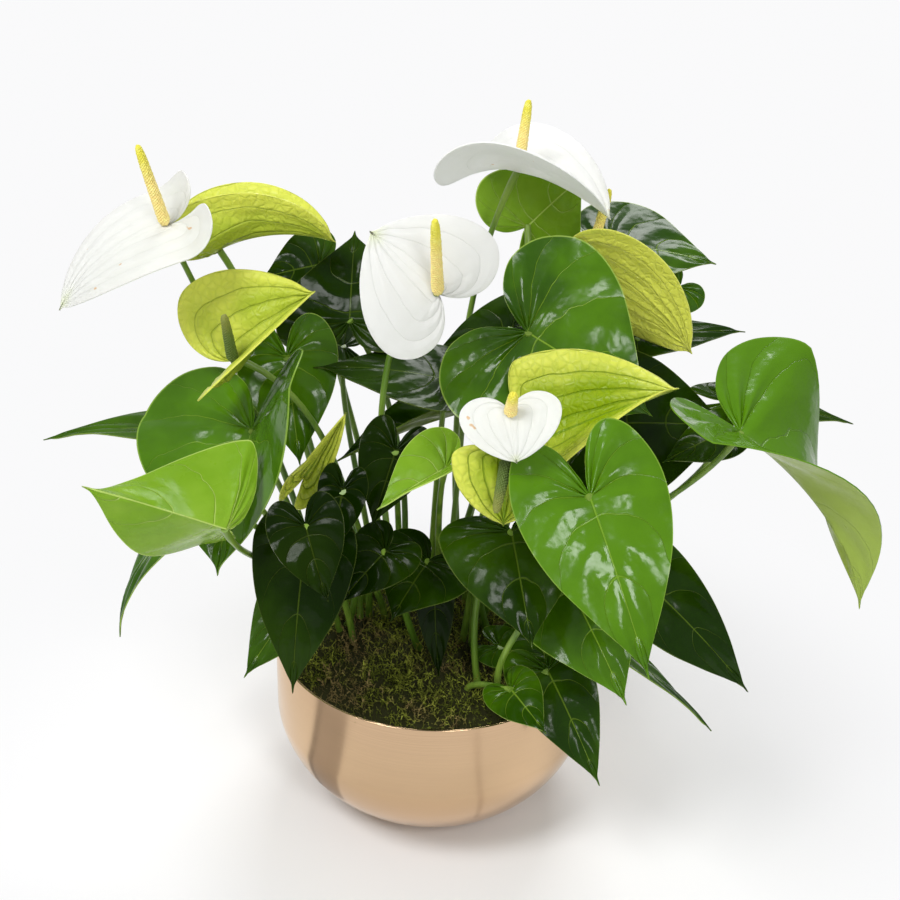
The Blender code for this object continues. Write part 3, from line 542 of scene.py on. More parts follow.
def build_leaves():
    """Every leaf: sinus, tip and foot in centimetres, the side its face looks to, its width."""
    # tone is partly a leaf's own colour and partly painted light and shade: painted shade on inner and
    # back leaves
    # left side
    leaf("left_large", (-13.0, -5.5, 34.9), (-14.8, -12.2, 27.0), (-0.35, -0.8, 0.4), 17.8,
         (-8.2, 0.9), droop=30, fold=(50, 0), twist=28, lobe=1.14, tone=0.35)
    leaf("left_pale", (-13.7, -13.9, 32.0), (-22.2, -15.9, 36.1), (0.05, 0.87, -0.45), 13.0,
         (-9.4, 0.8), kind="young_leaf", droop=10, lobes=-20, fold=(30, 70), lobe=0.4, twist=-70)
    leaf("left_back", (-17.5, 3.5, 29.6), (-31.0, 5.0, 27.5), (0, -0.1, 1), 6.5, (-9.0, 3.6),
         droop=25, fold=(15, 0), tone=-0.5)
    leaf("left_drooping", (-17.0, -3.0, 27.5), (-23.5, -6.0, 17.0), (-0.8, -0.3, 0.4), 5.0,
         (-9.4, 1.2), droop=60)
    leaf("left_inner", (-11.4, 1.5, 37.2), (-10.1, -2.5, 30.3), (0.1, -0.8, 0.6), 7.5, (-6.6, 2.3),
         tone=-0.1)
    leaf("front_left", (-8.9, -11.5, 29.0), (-9.5, -15.0, 19.5), (-0.1, -0.85, 0.5), 7.2,
         (-6.2, -1.9), droop=25, lobe=0.7, tone=-1.0)
    leaf("front_left_lower", (-9.5, -7.0, 22.5), (-13.5, -11.0, 17.5), (-0.3, -0.8, 0.5), 6.0,
         (-7.2, -1.3), tone=-0.4)
    leaf("front_left_small", (-8.4, -14.7, 33.0), (-6.8, -16.7, 28.5), (-0.2, -0.9, 0.4), 5.2,
         (-5.8, -0.4), fold=(0, 30), tone=-1.1)
    leaf("inner_left_small", (-6.4, -10.0, 33.0), (-7.0, -12.0, 29.0), (0, -0.9, 0.4), 3.4,
         (-5.4, 1.2), tone=-1.2)
    # middle
    leaf("inner_left", (-3.5, -9.0, 27.5), (-6.5, -12.0, 25.0), (-0.2, -0.7, 0.7), 5.0,
         (-4.0, 1.8), tone=-1.0)
    leaf("inner_centre", (-0.5, -7.0, 25.5), (-3.0, -11.0, 23.0), (-0.2, -0.7, 0.7), 7.5,
         (-2.0, 1.6), droop=25, tone=-0.9)
    leaf("middle_broad", (0.4, -1.3, 37.2), (-9.4, 0.6, 36.8), (0, -0.15, 1), 8.0, (-0.6, 4.4),
         lobe=0.5, tone=-0.9)
    leaf("middle_folded", (1.7, 1.0, 33.5), (-8.0, -1.5, 30.0), (0.1, -0.3, 1), 7.0, (0.8, 3.2),
         fold=(60, 10), tone=-0.6)
    leaf("middle_young", (0.5, -10.0, 35.0), (-4.0, -12.5, 33.0), (-0.2, -0.8, 0.6), 6.0,
         (0.2, 2.0), kind="young_leaf", droop=25, fold=(70, 0))
    leaf("middle_dark", (-3.0, -7.0, 34.5), (-4.5, -9.0, 29.5), (0, -0.9, 0.4), 5.0, (-2.8, 3.0),
         tone=-1.2)
    leaf("centre_large", (5.9, -0.2, 40.6), (14.8, -3.0, 35.8), (0.1, -0.8, 0.6), 15.5, (2.2, 3.6),
         droop=25, tone=-0.05)
    leaf("low_middle", (0.0, -6.0, 21.5), (0.5, -7.5, 15.5), (-0.3, -0.9, 0.3), 3.0, (-0.6, 2.8),
         droop=10, tone=-1.1)
    # back
    leaf("back_left_upright", (-7.0, 4.0, 39.0), (-7.0, 9.5, 44.0), (-0.1, -0.85, 0.5), 11.0,
         (-3.4, 4.4), droop=10, lobes=-40, tone=-0.9)
    leaf("back_left_low", (-7.5, 5.0, 36.5), (-12.0, 4.0, 37.5), (0, -0.4, 0.9), 6.0, (-4.8, 5.0),
         tone=-0.7)
    leaf("back_left_far", (-9.7, 9.4, 41.2), (-14.0, 8.0, 40.5), (0, -0.8, 0.55), 6.0, (-3.8, 6.6),
         tone=-0.6)
    leaf("back_middle", (5.0, 4.0, 39.0), (-0.5, 5.0, 36.5), (0, -0.4, 0.9), 7.0, (0.6, 5.6),
         tone=-0.9)
    leaf("back_top_pale", (5.8, 8.5, 45.2), (10.0, 9.8, 49.0), (0, 0.9, 0.3), 11.0, (1.6, 7.0),
         kind="young_leaf", droop=10)
    leaf("back_right", (12.0, 8.5, 44.0), (20.0, 6.5, 43.5), (0, -0.3, 0.95), 11.0, (3.4, 7.0),
         lobes=-20, tone=-0.4)
    leaf("back_right_small", (17.6, 8.5, 40.8), (15.6, 8.0, 38.5), (0, -0.9, 0.4), 4.5, (5.0, 6.4),
         droop=10)
    # right side
    leaf("right_dark", (12.5, -1.0, 34.0), (21.5, 0.0, 33.5), (0.1, -0.65, 0.75), 12.5, (4.4, 3.2),
         tone=-0.9)
    leaf("right_back", (14.5, 6.0, 37.5), (23.0, 8.0, 37.5), (0, -0.2, 1), 5.0, (4.6, 5.0),
         tone=-0.7)
    leaf("right_large", (21.0, -4.0, 35.3), (30.8, -6.6, 22.6), (0.35, -0.55, 0.75), 20.0,
         (7.2, 1.6), droop=68, fold=(0, 42), slim=0.5, lobe=0.65, twist=75, tone=0.85)
    leaf("right_far", (22.0, 3.0, 34.0), (31.0, 3.0, 32.5), (0, -0.2, 1), 5.0, (6.8, 4.6),
         tone=-0.6)
    leaf("right_low", (20.0, -2.6, 34.3), (16.0, -3.0, 32.0), (0, -0.5, 0.85), 4.0, (6.0, 2.8),
         tone=-0.7)
    leaf("right_lower", (15.5, -6.0, 23.5), (23.5, -8.0, 15.5), (0.2, -0.7, 0.7), 7.0, (7.0, 0.0),
         droop=25, tone=-0.7)
    leaf("right_narrow", (12.5, -6.0, 18.5), (21.0, -9.0, 12.5), (0.3, 0.2, 0.9), 4.5, (5.6, -0.4),
         tone=-0.3)
    # front
    leaf("front_glossy", (10.0, -12.5, 34.6), (14.0, -19.0, 25.4), (0.05, -0.85, 0.5), 9.8,
         (5.0, -1.2), droop=30, tone=0.5)
    leaf("front_dark", (5.1, -10.0, 30.2), (6.7, -15.5, 24.4), (0, -0.75, 0.65), 10.0, (3.8, -7.0),
         lobe=0.5, tone=-0.85)
    leaf("front_right", (9.0, -9.0, 26.0), (13.5, -15.0, 19.5), (0.05, -0.7, 0.7), 10.0,
         (5.6, -6.8), droop=25, tone=0.2)
    leaf("low_small", (5.0, -5.5, 17.0), (9.5, -7.5, 16.5), (0, -0.5, 0.85), 3.5, (4.6, -5.6),
         tone=-0.5)
    leaf("low_front", (5.8, -10.5, 16.9), (8.2, -14.5, 16.3), (0, -0.7, 0.7), 4.2, (3.6, -7.8),
         tone=-0.4)
    leaf("low_right", (8.5, -8.2, 17.0), (12.5, -13.2, 10.5), (0.2, -0.7, 0.6), 6.6, (6.4, -7.0),
         lobe=0.7, tone=-0.6)


def build_flowers():
    """Every flower: the spathe's sinus and tip, and the tip of the spadix."""
    # tone is partly a spathe's own colour and partly painted light and shade for where it stands
    flower("left_white", (-19.3, 0.7, 47.3), (-26.6, -2.0, 41.8), (-0.3, -0.3, 0.9), 9.5,
           (-9.2, 2.4), spadix=(-20.7, -0.3, 53.2), droop=50, lobes=-90, tone=-0.13)
    flower("left_lime", (-16.5, 4.5, 44.0), (-8.0, 4.5, 45.0), (0, -0.1, 1.0), 9.0, (-7.6, 4.8),
           kind="lime_spathe", droop=50, fold=(50, 75), tone=0.35)
    flower("left_green", (-14.8, -0.5, 37.8), (-9.2, 0.5, 42.8), (-0.2, -0.85, 0.5), 12.5,
           (-7.2, 0.1), spadix=(-15.2, -1.9, 41.8), kind="lime_spathe", spadix_kind="green_spadix",
           fold=(0, 70), rise=0.0034, lobe=0.8, tone=0.3)
    flower("young_rolled", (-9.5, -5.0, 31.0), (-6.5, -5.5, 36.5), (0.3, -0.8, 0.5), 4.0,
           (-5.4, 2.8), kind="lime_spathe", droop=10, fold=(60, 60))
    flower("centre_white", (-0.4, -6.0, 45.8), (-5.0, -5.0, 49.6), (0, -0.85, 0.5), 10.3,
           (0.6, -2.4), spadix=(-0.7, -9.0, 52.0), tone=-0.09)
    flower("top_white", (4.7, 5.0, 50.7), (11.4, 3.0, 48.0), (0, 0, 1), 12.5, (2.4, 5.4),
           spadix=(5.3, 5.5, 55.5), droop=28, fold=(14, 33), lobe=1.35, lobes=58, tone=0.2)
    flower("right_lime", (10.0, 4.5, 43.6), (18.0, 1.5, 38.5), (0.35, 0.8, 0.45), 11.0, (3.6, 2.0),
           spadix=(11.5, 6.5, 49.0), kind="lime_spathe", droop=50, lobe=0.6, tone=0.95)
    flower("centre_lime", (7.4, -6.3, 35.5), (15.8, -7.0, 40.0), (-0.1, -0.75, 0.6), 11.5,
           (3.4, 0.4), kind="lime_spathe", droop=25, fold=(10, 50), lobe=0.4, twist=40)
    flower("small_white", (4.4, -13.5, 41.2), (4.9, -15.4, 38.6), (0, -0.95, 0.3), 6.4,
           (2.2, -1.4), spadix=(4.5, -14.5, 43.0))
    flower("centre_green", (4.5, -10.3, 36.0), (4.5, -11.3, 31.5), (0, -0.8, 0.6), 7.0,
           (3.0, -2.0), spadix=(3.9, -13.3, 33.8), kind="lime_spathe", spadix_kind="green_spadix",
           lobe=0.5)


# ---- fine blades

def grid_of(blade, rows, columns):
    """Points on both halves, [half][row][column], from the tip row to the sinus row."""
    grid = np.zeros((2, len(rows), columns + 1, 3))
    for half, side in enumerate((-1, 1)):
        for row, (w, l, root) in enumerate(rows):
            for k in range(columns + 1):
                grid[half, row, k] = blade.point(side, k / columns, w, l, root)
    return grid


def relief(grid, style, phase):
    """Heights above the smooth blade: a rippled margin, sunk veins and puffed skin between them.

    The second ripple is finer and half as high, and the halves of the blade are out of step."""
    rows, columns = grid.shape[1], grid.shape[2]
    share = np.linspace(0.0, 1.0, columns)[None, None, :]
    row = np.linspace(0.0, 1.0, rows)[None, :, None]
    half = np.array([0.0, 2.1])[:, None, None]
    size = np.linalg.norm(grid[0, 0, 0] - grid[0, -1, 0])
    calm = np.clip(4.0 * row, 0, 1) * np.clip(5.0 * (1.0 - row), 0, 1)
    turns = 2 * pi * style["waves"] * row
    ripple = np.sin(turns + phase + half) * share ** 2 * calm
    ripple += 0.5 * np.sin(1.7 * turns + 2.3 * phase - half) * share * calm
    line = style["veins"] * (row + style["bend"] * share ** 2)
    puff = -np.cos(2 * pi * line + pi) * np.sin(pi * share) ** 0.7 * calm
    if style["arcs"]:
        puff = 0.35 * puff - np.cos(2 * pi * style["arcs"] * share + pi) * calm * (1 - share ** 6)
    groove = -np.exp(-(share * columns / 1.2) ** 2) * calm
    return (ripple * style["ripple"] + puff * style["puff"] + groove * style["groove"]) * size


def normals_of(grid, up):
    """Unit normals of the grid's points, on the side that up points to."""
    by_row = np.gradient(grid, axis=1)
    by_column = np.gradient(grid, axis=2)
    normal = np.cross(by_column, by_row)
    normal[1] *= -1.0
    length = np.linalg.norm(normal, axis=3, keepdims=True)
    normal = np.where(length > 1e-12, normal / np.maximum(length, 1e-12), np.array(up))
    sign = np.sign((normal * np.array(up)).sum(axis=3).mean())
    return normal * sign


def skin(name, blade, style, phase):
    """The open, one-sided surface of a blade as a mesh, with its UV map and vein attributes.

    U runs across the blade through the midrib at 0.5, and V from the tip (0) to the sinus (1)
    along lines that each start at the midrib, as the side veins do."""
    rows = spline(blade.outline, style["rows"])
    columns = style["columns"]
    grid = grid_of(blade, rows, columns)
    grid += normals_of(grid, blade.up) * relief(grid, style, phase)[..., None]
    gap = np.linalg.norm(np.gradient(grid, axis=1), axis=3) * (len(rows) - 1)
    reach = np.linalg.norm(np.gradient(grid, axis=2), axis=3) * columns
    points, gaps, reaches, index = [], [], [], {}

    def number(half, row, k):
        root = rows[row][2]
        if row == 0:
            key = "tip"
        elif row == len(rows) - 1 or (k == 0 and root < 1e-4):
            key = "sinus"
        elif k == 0:
            key = (0, row, 0)
        else:
            key = (half, row, k)
        if key not in index:
            index[key] = len(points)
            points.append(grid[half, row, k] if key != "sinus" else np.array(blade.sinus))
            gaps.append(0.0 if key == "sinus" else gap[half, row, k])
            reaches.append(reach[half, row, k])
        return index[key]

    faces, uvs = [], []
    for half in (0, 1):
        for row in range(len(rows) - 1):
            for k in range(columns):
                corners, places = [], []
                for r, c in ((row, k), (row + 1, k), (row + 1, k + 1), (row, k + 1)):
                    n = number(half, r, c)
                    if n not in corners:
                        corners.append(n)
                        across = 0.5 + 0.5 * (1 if half else -1) * c / columns
                        places.append((across, r / (len(rows) - 1)))
                if half == 0:
                    corners.reverse()
                    places.reverse()
                if len(corners) > 2:
                    faces.append(corners)
                    uvs.extend(places)
    mesh = bpy.data.meshes.new(name)
    mesh.from_pydata([tuple(p) for p in points], [], faces)
    layer = mesh.uv_layers.new(name="Veins")
    layer.data.foreach_set("uv", np.array(uvs, np.float32).ravel())
    for key, values in (("gap", gaps), ("reach", reaches)):
        mesh.attributes.new(key, "FLOAT", "POINT").data.foreach_set("value", np.array(values, np.float32))
    return mesh


def evaluated(obj):
    """The object's mesh with its modifiers applied; the object itself is removed."""
    graph = bpy.context.evaluated_depsgraph_get()
    mesh = bpy.data.meshes.new_from_object(
        obj.evaluated_get(graph), preserve_all_data_layers=True, depsgraph=graph)
    old = obj.data
    bpy.data.objects.remove(obj, do_unlink=True)
    if old.users == 0:
        bpy.data.meshes.remove(old)
    return mesh


def linked(name, content):
    """A new object of a mesh, lamp or camera, linked into the scene."""
    obj = bpy.data.objects.new(name, content)
    bpy.context.scene.collection.objects.link(obj)
    return obj


def mesh_from(bm, name):
    """A mesh made of the given bmesh, which is freed."""
    mesh = bpy.data.meshes.new(name)
    bm.to_mesh(mesh)
    bm.free()
    return mesh


def joined(name, meshes, materials):
    """One object made of several meshes; each is given with the first of its material slots."""
    bm = bmesh.new()
    for mesh, first in meshes:
        start = len(bm.faces)
        bm.from_mesh(mesh)
        bm.faces.ensure_lookup_table()
        for face in bm.faces[start:]:
            face.material_index += first
    result = mesh_from(bm, name)
    for mat in materials:
        result.materials.append(mat)
    for mesh, _ in meshes:
        bpy.data.meshes.remove(mesh)
    return linked(name, result)


# ---- node helpers

def group_of(name, inputs):
    """A geometry node group with the named inputs: its tree, its inputs and its output node."""
    tree = bpy.data.node_groups.new(name, "GeometryNodeTree")
    tree.interface.new_socket("Geometry", in_out="INPUT", socket_type="NodeSocketGeometry")
    for label, kind, default in inputs:
        socket = tree.interface.new_socket(label, in_out="INPUT", socket_type="NodeSocket" + kind)
        if default is not None:
            socket.default_value = default
    tree.interface.new_socket("Geometry", in_out="OUTPUT", socket_type="NodeSocketGeometry")
    return tree, tree.nodes.new("NodeGroupInput").outputs, tree.nodes.new("NodeGroupOutput")


def add(tree, kind, inputs=(), **settings):
    """Add a node, set its properties, and feed its inputs, which are given by index or name.

    What is fed is either another node's socket, which is linked, or a plain value."""
    node = tree.nodes.new(kind)
    for key, value in settings.items():
        setattr(node, key, value)
    for where, value in dict(inputs).items():
        if isinstance(value, bpy.types.NodeSocket):
            tree.links.new(value, node.inputs[where])
        else:
            node.inputs[where].default_value = value
    return node


def math(tree, operation, *values, clamp=False):
    """A Math node on sockets and numbers; its output socket."""
    node = add(tree, "ShaderNodeMath", enumerate(values), operation=operation, use_clamp=clamp)
    return node.outputs[0]


def smooth(tree, value, low, high, to_low=0.0, to_high=1.0):
    """A smooth step of the value from one range to another."""
    inputs = {"Value": value, "From Min": low, "From Max": high, "To Min": to_low,
              "To Max": to_high}
    node = add(tree, "ShaderNodeMapRange", inputs, interpolation_type="SMOOTHSTEP")
    return node.outputs["Result"]


def mix(tree, share, *pair):
    """A mix of two colours; the share is a socket or a number, each colour a socket or a colour."""
    inputs = {0: share}
    for slot, colour in zip((6, 7), pair):
        is_socket = isinstance(colour, bpy.types.NodeSocket)
        inputs[slot] = colour if is_socket else (*colour[:3], 1.0)
    return add(tree, "ShaderNodeMix", inputs, data_type="RGBA").outputs[2]


def own_place(tree):
    """The piece's own coordinates."""
    return add(tree, "ShaderNodeTexCoord").outputs["Object"]


def noise(tree, scale, detail=3.0, stretch=None):
    """Noise on the piece's own coordinates; its factor output."""
    place = own_place(tree)
    if stretch:
        place = add(tree, "ShaderNodeMapping", {"Vector": place, "Scale": stretch}).outputs[0]
    inputs = {"Vector": place, "Scale": scale, "Detail": detail, "Roughness": NOISE_ROUGHNESS}
    return add(tree, "ShaderNodeTexNoise", inputs).outputs["Fac"]


def attribute(tree, name):
    return add(tree, "ShaderNodeAttribute", attribute_name=name).outputs["Fac"]


def bumped(tree, shader, height, distance, strength=1.0):
    inputs = {"Height": height, "Distance": distance, "Strength": strength}
    tree.links.new(add(tree, "ShaderNodeBump", inputs).outputs[0], shader.inputs["Normal"])


def new_material(name, rough, metallic=0.0, specular=0.5, subsurface=0.0):
    """A new material, its node tree and its shader."""
    mat = bpy.data.materials.new(name)
    mat.use_nodes = True
    shader = mat.node_tree.nodes["Principled BSDF"]
    inputs = {"Metallic": metallic, "Roughness": rough, "Specular IOR Level": specular,
              "Subsurface Weight": subsurface, "Subsurface Radius": (1.0, 1.0, 1.0),
              "Subsurface Scale": SUBSURFACE_DEPTH}
    for key, value in inputs.items():
        shader.inputs[key].default_value = value
    return mat, mat.node_tree, shader


# ---- finishes

def vein_masks(tree, veins, side_width, rib_width):
    """Masks of a blade's side veins, midrib and margin, from its UV map and vein attributes.

    veins is the number of lines, their bend towards the tip, and whether they run along the blade
    as arcs beside the midrib instead of across it. Widths are in metres."""
    count, bend, arcs = veins
    uv = add(tree, "ShaderNodeUVMap", uv_map="Veins")
    split = add(tree, "ShaderNodeSeparateXYZ", [(0, uv.outputs[0])])
    off_rib = math(tree, "ABSOLUTE", math(tree, "SUBTRACT", split.outputs[0], 0.5))
    across = math(tree, "MULTIPLY", off_rib, 2.0)
    along = split.outputs[1]
    if arcs:
        place, spacing = across, attribute(tree, "reach")
    else:
        place = math(tree, "MULTIPLY_ADD", math(tree, "POWER", across, 2.0), bend, along)
        spacing = attribute(tree, "gap")
    wander = math(tree, "MULTIPLY_ADD", noise(tree, 30.0, 2.0), 0.5, -0.25)
    step = math(tree, "FRACT", math(tree, "MULTIPLY_ADD", place, count, wander))
    off = math(tree, "ABSOLUTE", math(tree, "SUBTRACT", step, 0.5))
    distance = math(tree, "MULTIPLY", off, math(tree, "DIVIDE", spacing, count))
    taper = math(tree, "MULTIPLY_ADD", across, -0.75 * side_width, side_width)
    side = smooth(tree, distance, math(tree, "MULTIPLY", taper, 0.35), taper, 1.0, 0.0)
    rib_distance = math(tree, "MULTIPLY", across, attribute(tree, "reach"))
    rib_taper = math(tree, "MULTIPLY_ADD", along, 0.75 * rib_width, 0.25 * rib_width)
    rib = smooth(tree, rib_distance, math(tree, "MULTIPLY", rib_taper, 0.5), rib_taper, 1.0, 0.0)
    margin = smooth(tree, across, 0.982, 0.993)
    puffed = math(tree, "MINIMUM", math(tree, "MULTIPLY", off, 2.0), 1.0)
    return side, rib, margin, across, along, puffed


def blade_finish(name, main, light, vein, edge, rough, veins, vein_share=0.5, rib_share=0.85,
                 relief_depth=0.0012, specular=0.3, net=0.0, mottle=0.5, tip=None, blemish=None,
                 pale_margin=0.0, side_width=0.0007, rib_width=0.0016, subsurface=0.0,
                 waves=0.0):
    """A finish for one side of a blade: mottled skin puffed between its veins, the veins and the
    midrib in their own colour, a margin line, and optionally a fine net, a paler zone along the
    margin, another colour at the tip and small blemishes."""
    mat, tree, shader = new_material(name, rough, specular=specular, subsurface=subsurface)
    side, rib, margin, across, along, puffed = vein_masks(tree, veins, side_width, rib_width)
    cloud = smooth(tree, noise(tree, 12.0, 4.0), 0.38, 0.64)
    colour = mix(tree, math(tree, "MULTIPLY", cloud, mottle), main, light)
    if pale_margin:
        pale = math(tree, "MULTIPLY", smooth(tree, across, 0.45, 1.0), pale_margin)
        colour = mix(tree, pale, colour, light)
    grooves = math(tree, "MAXIMUM", side, rib)
    fine = math(tree, "MULTIPLY", noise(tree, 420.0, 2.0), 0.04)
    height = math(tree, "MULTIPLY_ADD", grooves, -0.35, fine)
    for bump, share in ((math(tree, "SQRT", puffed), 0.50), (noise(tree, 62.0, 2.0), 0.9),
                        (noise(tree, 27.0, 1.0), waves)):
        height = math(tree, "MULTIPLY_ADD", bump, share, height)
    if net:
        cells = add(tree, "ShaderNodeTexVoronoi", {"Vector": own_place(tree), "Scale": 170.0},
                    feature="DISTANCE_TO_EDGE")
        lines = smooth(tree, cells.outputs["Distance"], 0.0, 0.26, 1.0, 0.0)
        colour = mix(tree, math(tree, "MULTIPLY", lines, net), colour, vein)
        height = math(tree, "MULTIPLY_ADD", lines, -0.22, height)
    side_share = math(tree, "MULTIPLY", side, vein_share)
    rib_part = math(tree, "MULTIPLY", rib, rib_share)
    colour = mix(tree, math(tree, "MAXIMUM", side_share, rib_part), colour, vein)
    colour = mix(tree, math(tree, "MULTIPLY", margin, 0.8), colour, edge)
    if tip:
        colour = mix(tree, smooth(tree, along, 0.02, 0.20, 1.0, 0.0), colour, tip)
    if blemish:
        spots = smooth(tree, noise(tree, 75.0, 2.0), 0.735, 0.76)
        colour = mix(tree, math(tree, "MULTIPLY", spots, 0.75), colour, blemish)

    # Pieces with a tone above 0 turn lighter; those below 0 turn darker and lose some shine. The tone is
    # partly each piece's own colour and partly painted light and shade, set piece by piece for how light
    # it shows where it stands: inner and back pieces take painted shade, and some pieces that stand in
    # shade take painted light.
    tone = attribute(tree, "tone")
    colour = mix(tree, math(tree, "MAXIMUM", tone, 0.0), colour, light)
    dark = math(tree, "MINIMUM", tone, 0.0)
    dim = math(tree, "MAXIMUM", math(tree, "MULTIPLY_ADD", dark, 0.82, 1.0), 0.13)
    shade = add(tree, "ShaderNodeHueSaturation", {"Color": colour, "Value": dim})
    shine = math(tree, "MULTIPLY_ADD", dark, 0.62 * specular, specular)
    gloss = smooth(tree, noise(tree, 40.0, 4.0), 0.3, 0.7, rough * 0.75, rough * 1.4)
    tree.links.new(shade.outputs[0], shader.inputs["Base Color"])
    tree.links.new(math(tree, "MAXIMUM", shine, 0.06), shader.inputs["Specular IOR Level"])
    tree.links.new(gloss, shader.inputs["Roughness"])
    bumped(tree, shader, height, relief_depth)
    return mat


def colours(settings):
    """The colours of the settings as plain tuples, by their names without the ending."""
    ending = "_colour"
    return {key.removesuffix(ending): tuple(getattr(settings, key))
            for key in settings.bl_rna.properties.keys() if key.endswith(ending)}


def finishes(look):
    """Every finish of the plant by the kind of piece; made once and shared by all pieces."""
    if FINISHES:
        return FINISHES
    c = colours(look)
    ribs = (LEAF_STYLE["veins"], LEAF_STYLE["bend"], False)
    arcs = (SPATHE_STYLE["arcs"], 0.0, True)
    FINISHES.update(
        leaf=blade_finish(
            "glossy_leaf", c["leaf"], c["leaf_light"], c["vein"], c["margin"],
            rough=look.leaf_gloss, veins=ribs, waves=3.2, specular=0.26, mottle=0.8,
            vein_share=0.66, side_width=0.0009),
        leaf_under=blade_finish(
            "leaf_underside", c["underside"], c["underside_light"], c["margin"], c["margin"],
            rough=0.36, veins=ribs, relief_depth=0.0008),
        young_leaf=blade_finish(
            "young_leaf", c["young"], c["young_light"], c["young_vein"], c["young_vein"],
            rough=0.24, veins=ribs, specular=0.2, vein_share=0.6, subsurface=0.2),
        white_spathe=blade_finish(
            "white_spathe", c["white"], c["white_light"], c["white_vein"], c["white_light"],
            rough=0.42, veins=arcs, vein_share=0.05, rib_share=0.06, mottle=0.6,
            tip=c["white_tip"], blemish=c["blemish"], relief_depth=0.0005, side_width=0.0008,
            subsurface=0.9),
        lime_spathe=blade_finish(
            "lime_spathe", c["lime"], c["lime_light"], c["lime_vein"], c["lime_light"],
            rough=0.34, veins=arcs, vein_share=0.6, net=0.18, mottle=0.7, relief_depth=0.0016,
            side_width=0.0012, rib_width=0.0020, pale_margin=0.9, specular=0.18,
            subsurface=0.35),
        stalk=stalk_finish(c["stalk"], c["stalk_light"]),
        spadix=spadix_finish("ripe_spadix", c["spadix"], c["spadix_tip"]),
        green_spadix=spadix_finish("old_spadix", c["green_spadix"], c["green_spadix_tip"]))
    return FINISHES


def stalk_finish(main, light):
    mat, tree, shader = new_material("stalk", 0.34)
    streak = noise(tree, 90.0, 3.0, stretch=(1.0, 1.0, 0.08))
    colour = mix(tree, smooth(tree, streak, 0.35, 0.7), main, light)
    high = smooth(tree, attribute(tree, "along"), 0.75, 1.0)
    colour = mix(tree, math(tree, "MULTIPLY", high, 0.45), colour, light)
    tree.links.new(colour, shader.inputs["Base Color"])
    bumped(tree, shader, streak, 0.0003)
    return mat


def spadix_finish(name, main, tip):
    mat, tree, shader = new_material(name, 0.55)
    cloud = noise(tree, 300.0, 3.0)
    colour = mix(tree, smooth(tree, attribute(tree, "along"), 0.45, 0.95), main, tip)
    pale = [min(1.0, 1.35 * v) for v in main[:3]]
    colour = mix(tree, smooth(tree, cloud, 0.45, 0.75, 0.0, 0.5), colour, pale)
    tree.links.new(colour, shader.inputs["Base Color"])
    bumped(tree, shader, cloud, 0.0003)
    return mat


def mark(tree, geometry, name, value, domain="POINT"):
    """The geometry with the value stored as a named attribute."""
    inputs = {"Geometry": geometry, "Name": name, "Value": value}
    return add(tree, "GeometryNodeStoreNamedAttribute", inputs, data_type="FLOAT",
               domain=domain).outputs[0]


def swept(tree, curve, sides, radius):
    """A round rod along the curve, closed at its ends, with the radius of each of its points."""
    ring = add(tree, "GeometryNodeCurvePrimitiveCircle", {"Resolution": sides, "Radius": 1.0})
    return add(tree, "GeometryNodeCurveToMesh", {
        "Curve": curve, "Profile Curve": ring.outputs[0], "Scale": radius,
        "Fill Caps": True}).outputs[0]


def together(tree, first, second):
    """Two geometries joined and made real."""
    both = add(tree, "GeometryNodeJoinGeometry", {0: first})
    tree.links.new(second, both.inputs[0])
    return add(tree, "GeometryNodeRealizeInstances", {0: both.outputs[0]}).outputs[0]


def random_between(tree, given, low, high):
    """A random number for each point or instance, from the group's seed."""
    inputs = {2: low, 3: high, "Seed": given["Seed"]}
    return add(tree, "FunctionNodeRandomValue", inputs, data_type="FLOAT").outputs[1]


def closed_group(tree, given, end, geometry):
    """The tree, ended by making the geometry real and giving it the material."""
    real = add(tree, "GeometryNodeRealizeInstances", {0: geometry})
    done = add(tree, "GeometryNodeSetMaterial",
               {"Geometry": real.outputs[0], "Material": given["Material"]})
    tree.links.new(done.outputs[0], end.inputs[0])
    return tree


def stalk_nodes():
    """A tapering stalk along a path, with a thicker knee where it meets its blade."""
    tree, given, end = group_of("stalk along path", [
        ("Foot Radius", "Float", 0.0028), ("Top Radius", "Float", 0.0021),
        ("Knee", "Float", 0.30), ("Sides", "Int", 14), ("Material", "Material", None)])
    curve = add(tree, "GeometryNodeMeshToCurve", {0: given["Geometry"]})
    factor = add(tree, "GeometryNodeSplineParameter").outputs["Factor"]
    taper = add(tree, "ShaderNodeMapRange", {
        "Value": factor, "To Min": given["Foot Radius"], "To Max": given["Top Radius"]})
    swell = math(tree, "MULTIPLY", smooth(tree, factor, 0.90, 0.965), given["Knee"])
    sheath = smooth(tree, factor, 0.0, 0.10, 0.35, 0.0)
    full = math(tree, "ADD", math(tree, "ADD", swell, 1.0), sheath)
    radius = math(tree, "MULTIPLY", taper.outputs[0], full)
    marked = mark(tree, curve.outputs[0], "along", factor)
    return closed_group(tree, given, end, swept(tree, marked, given["Sides"], radius))


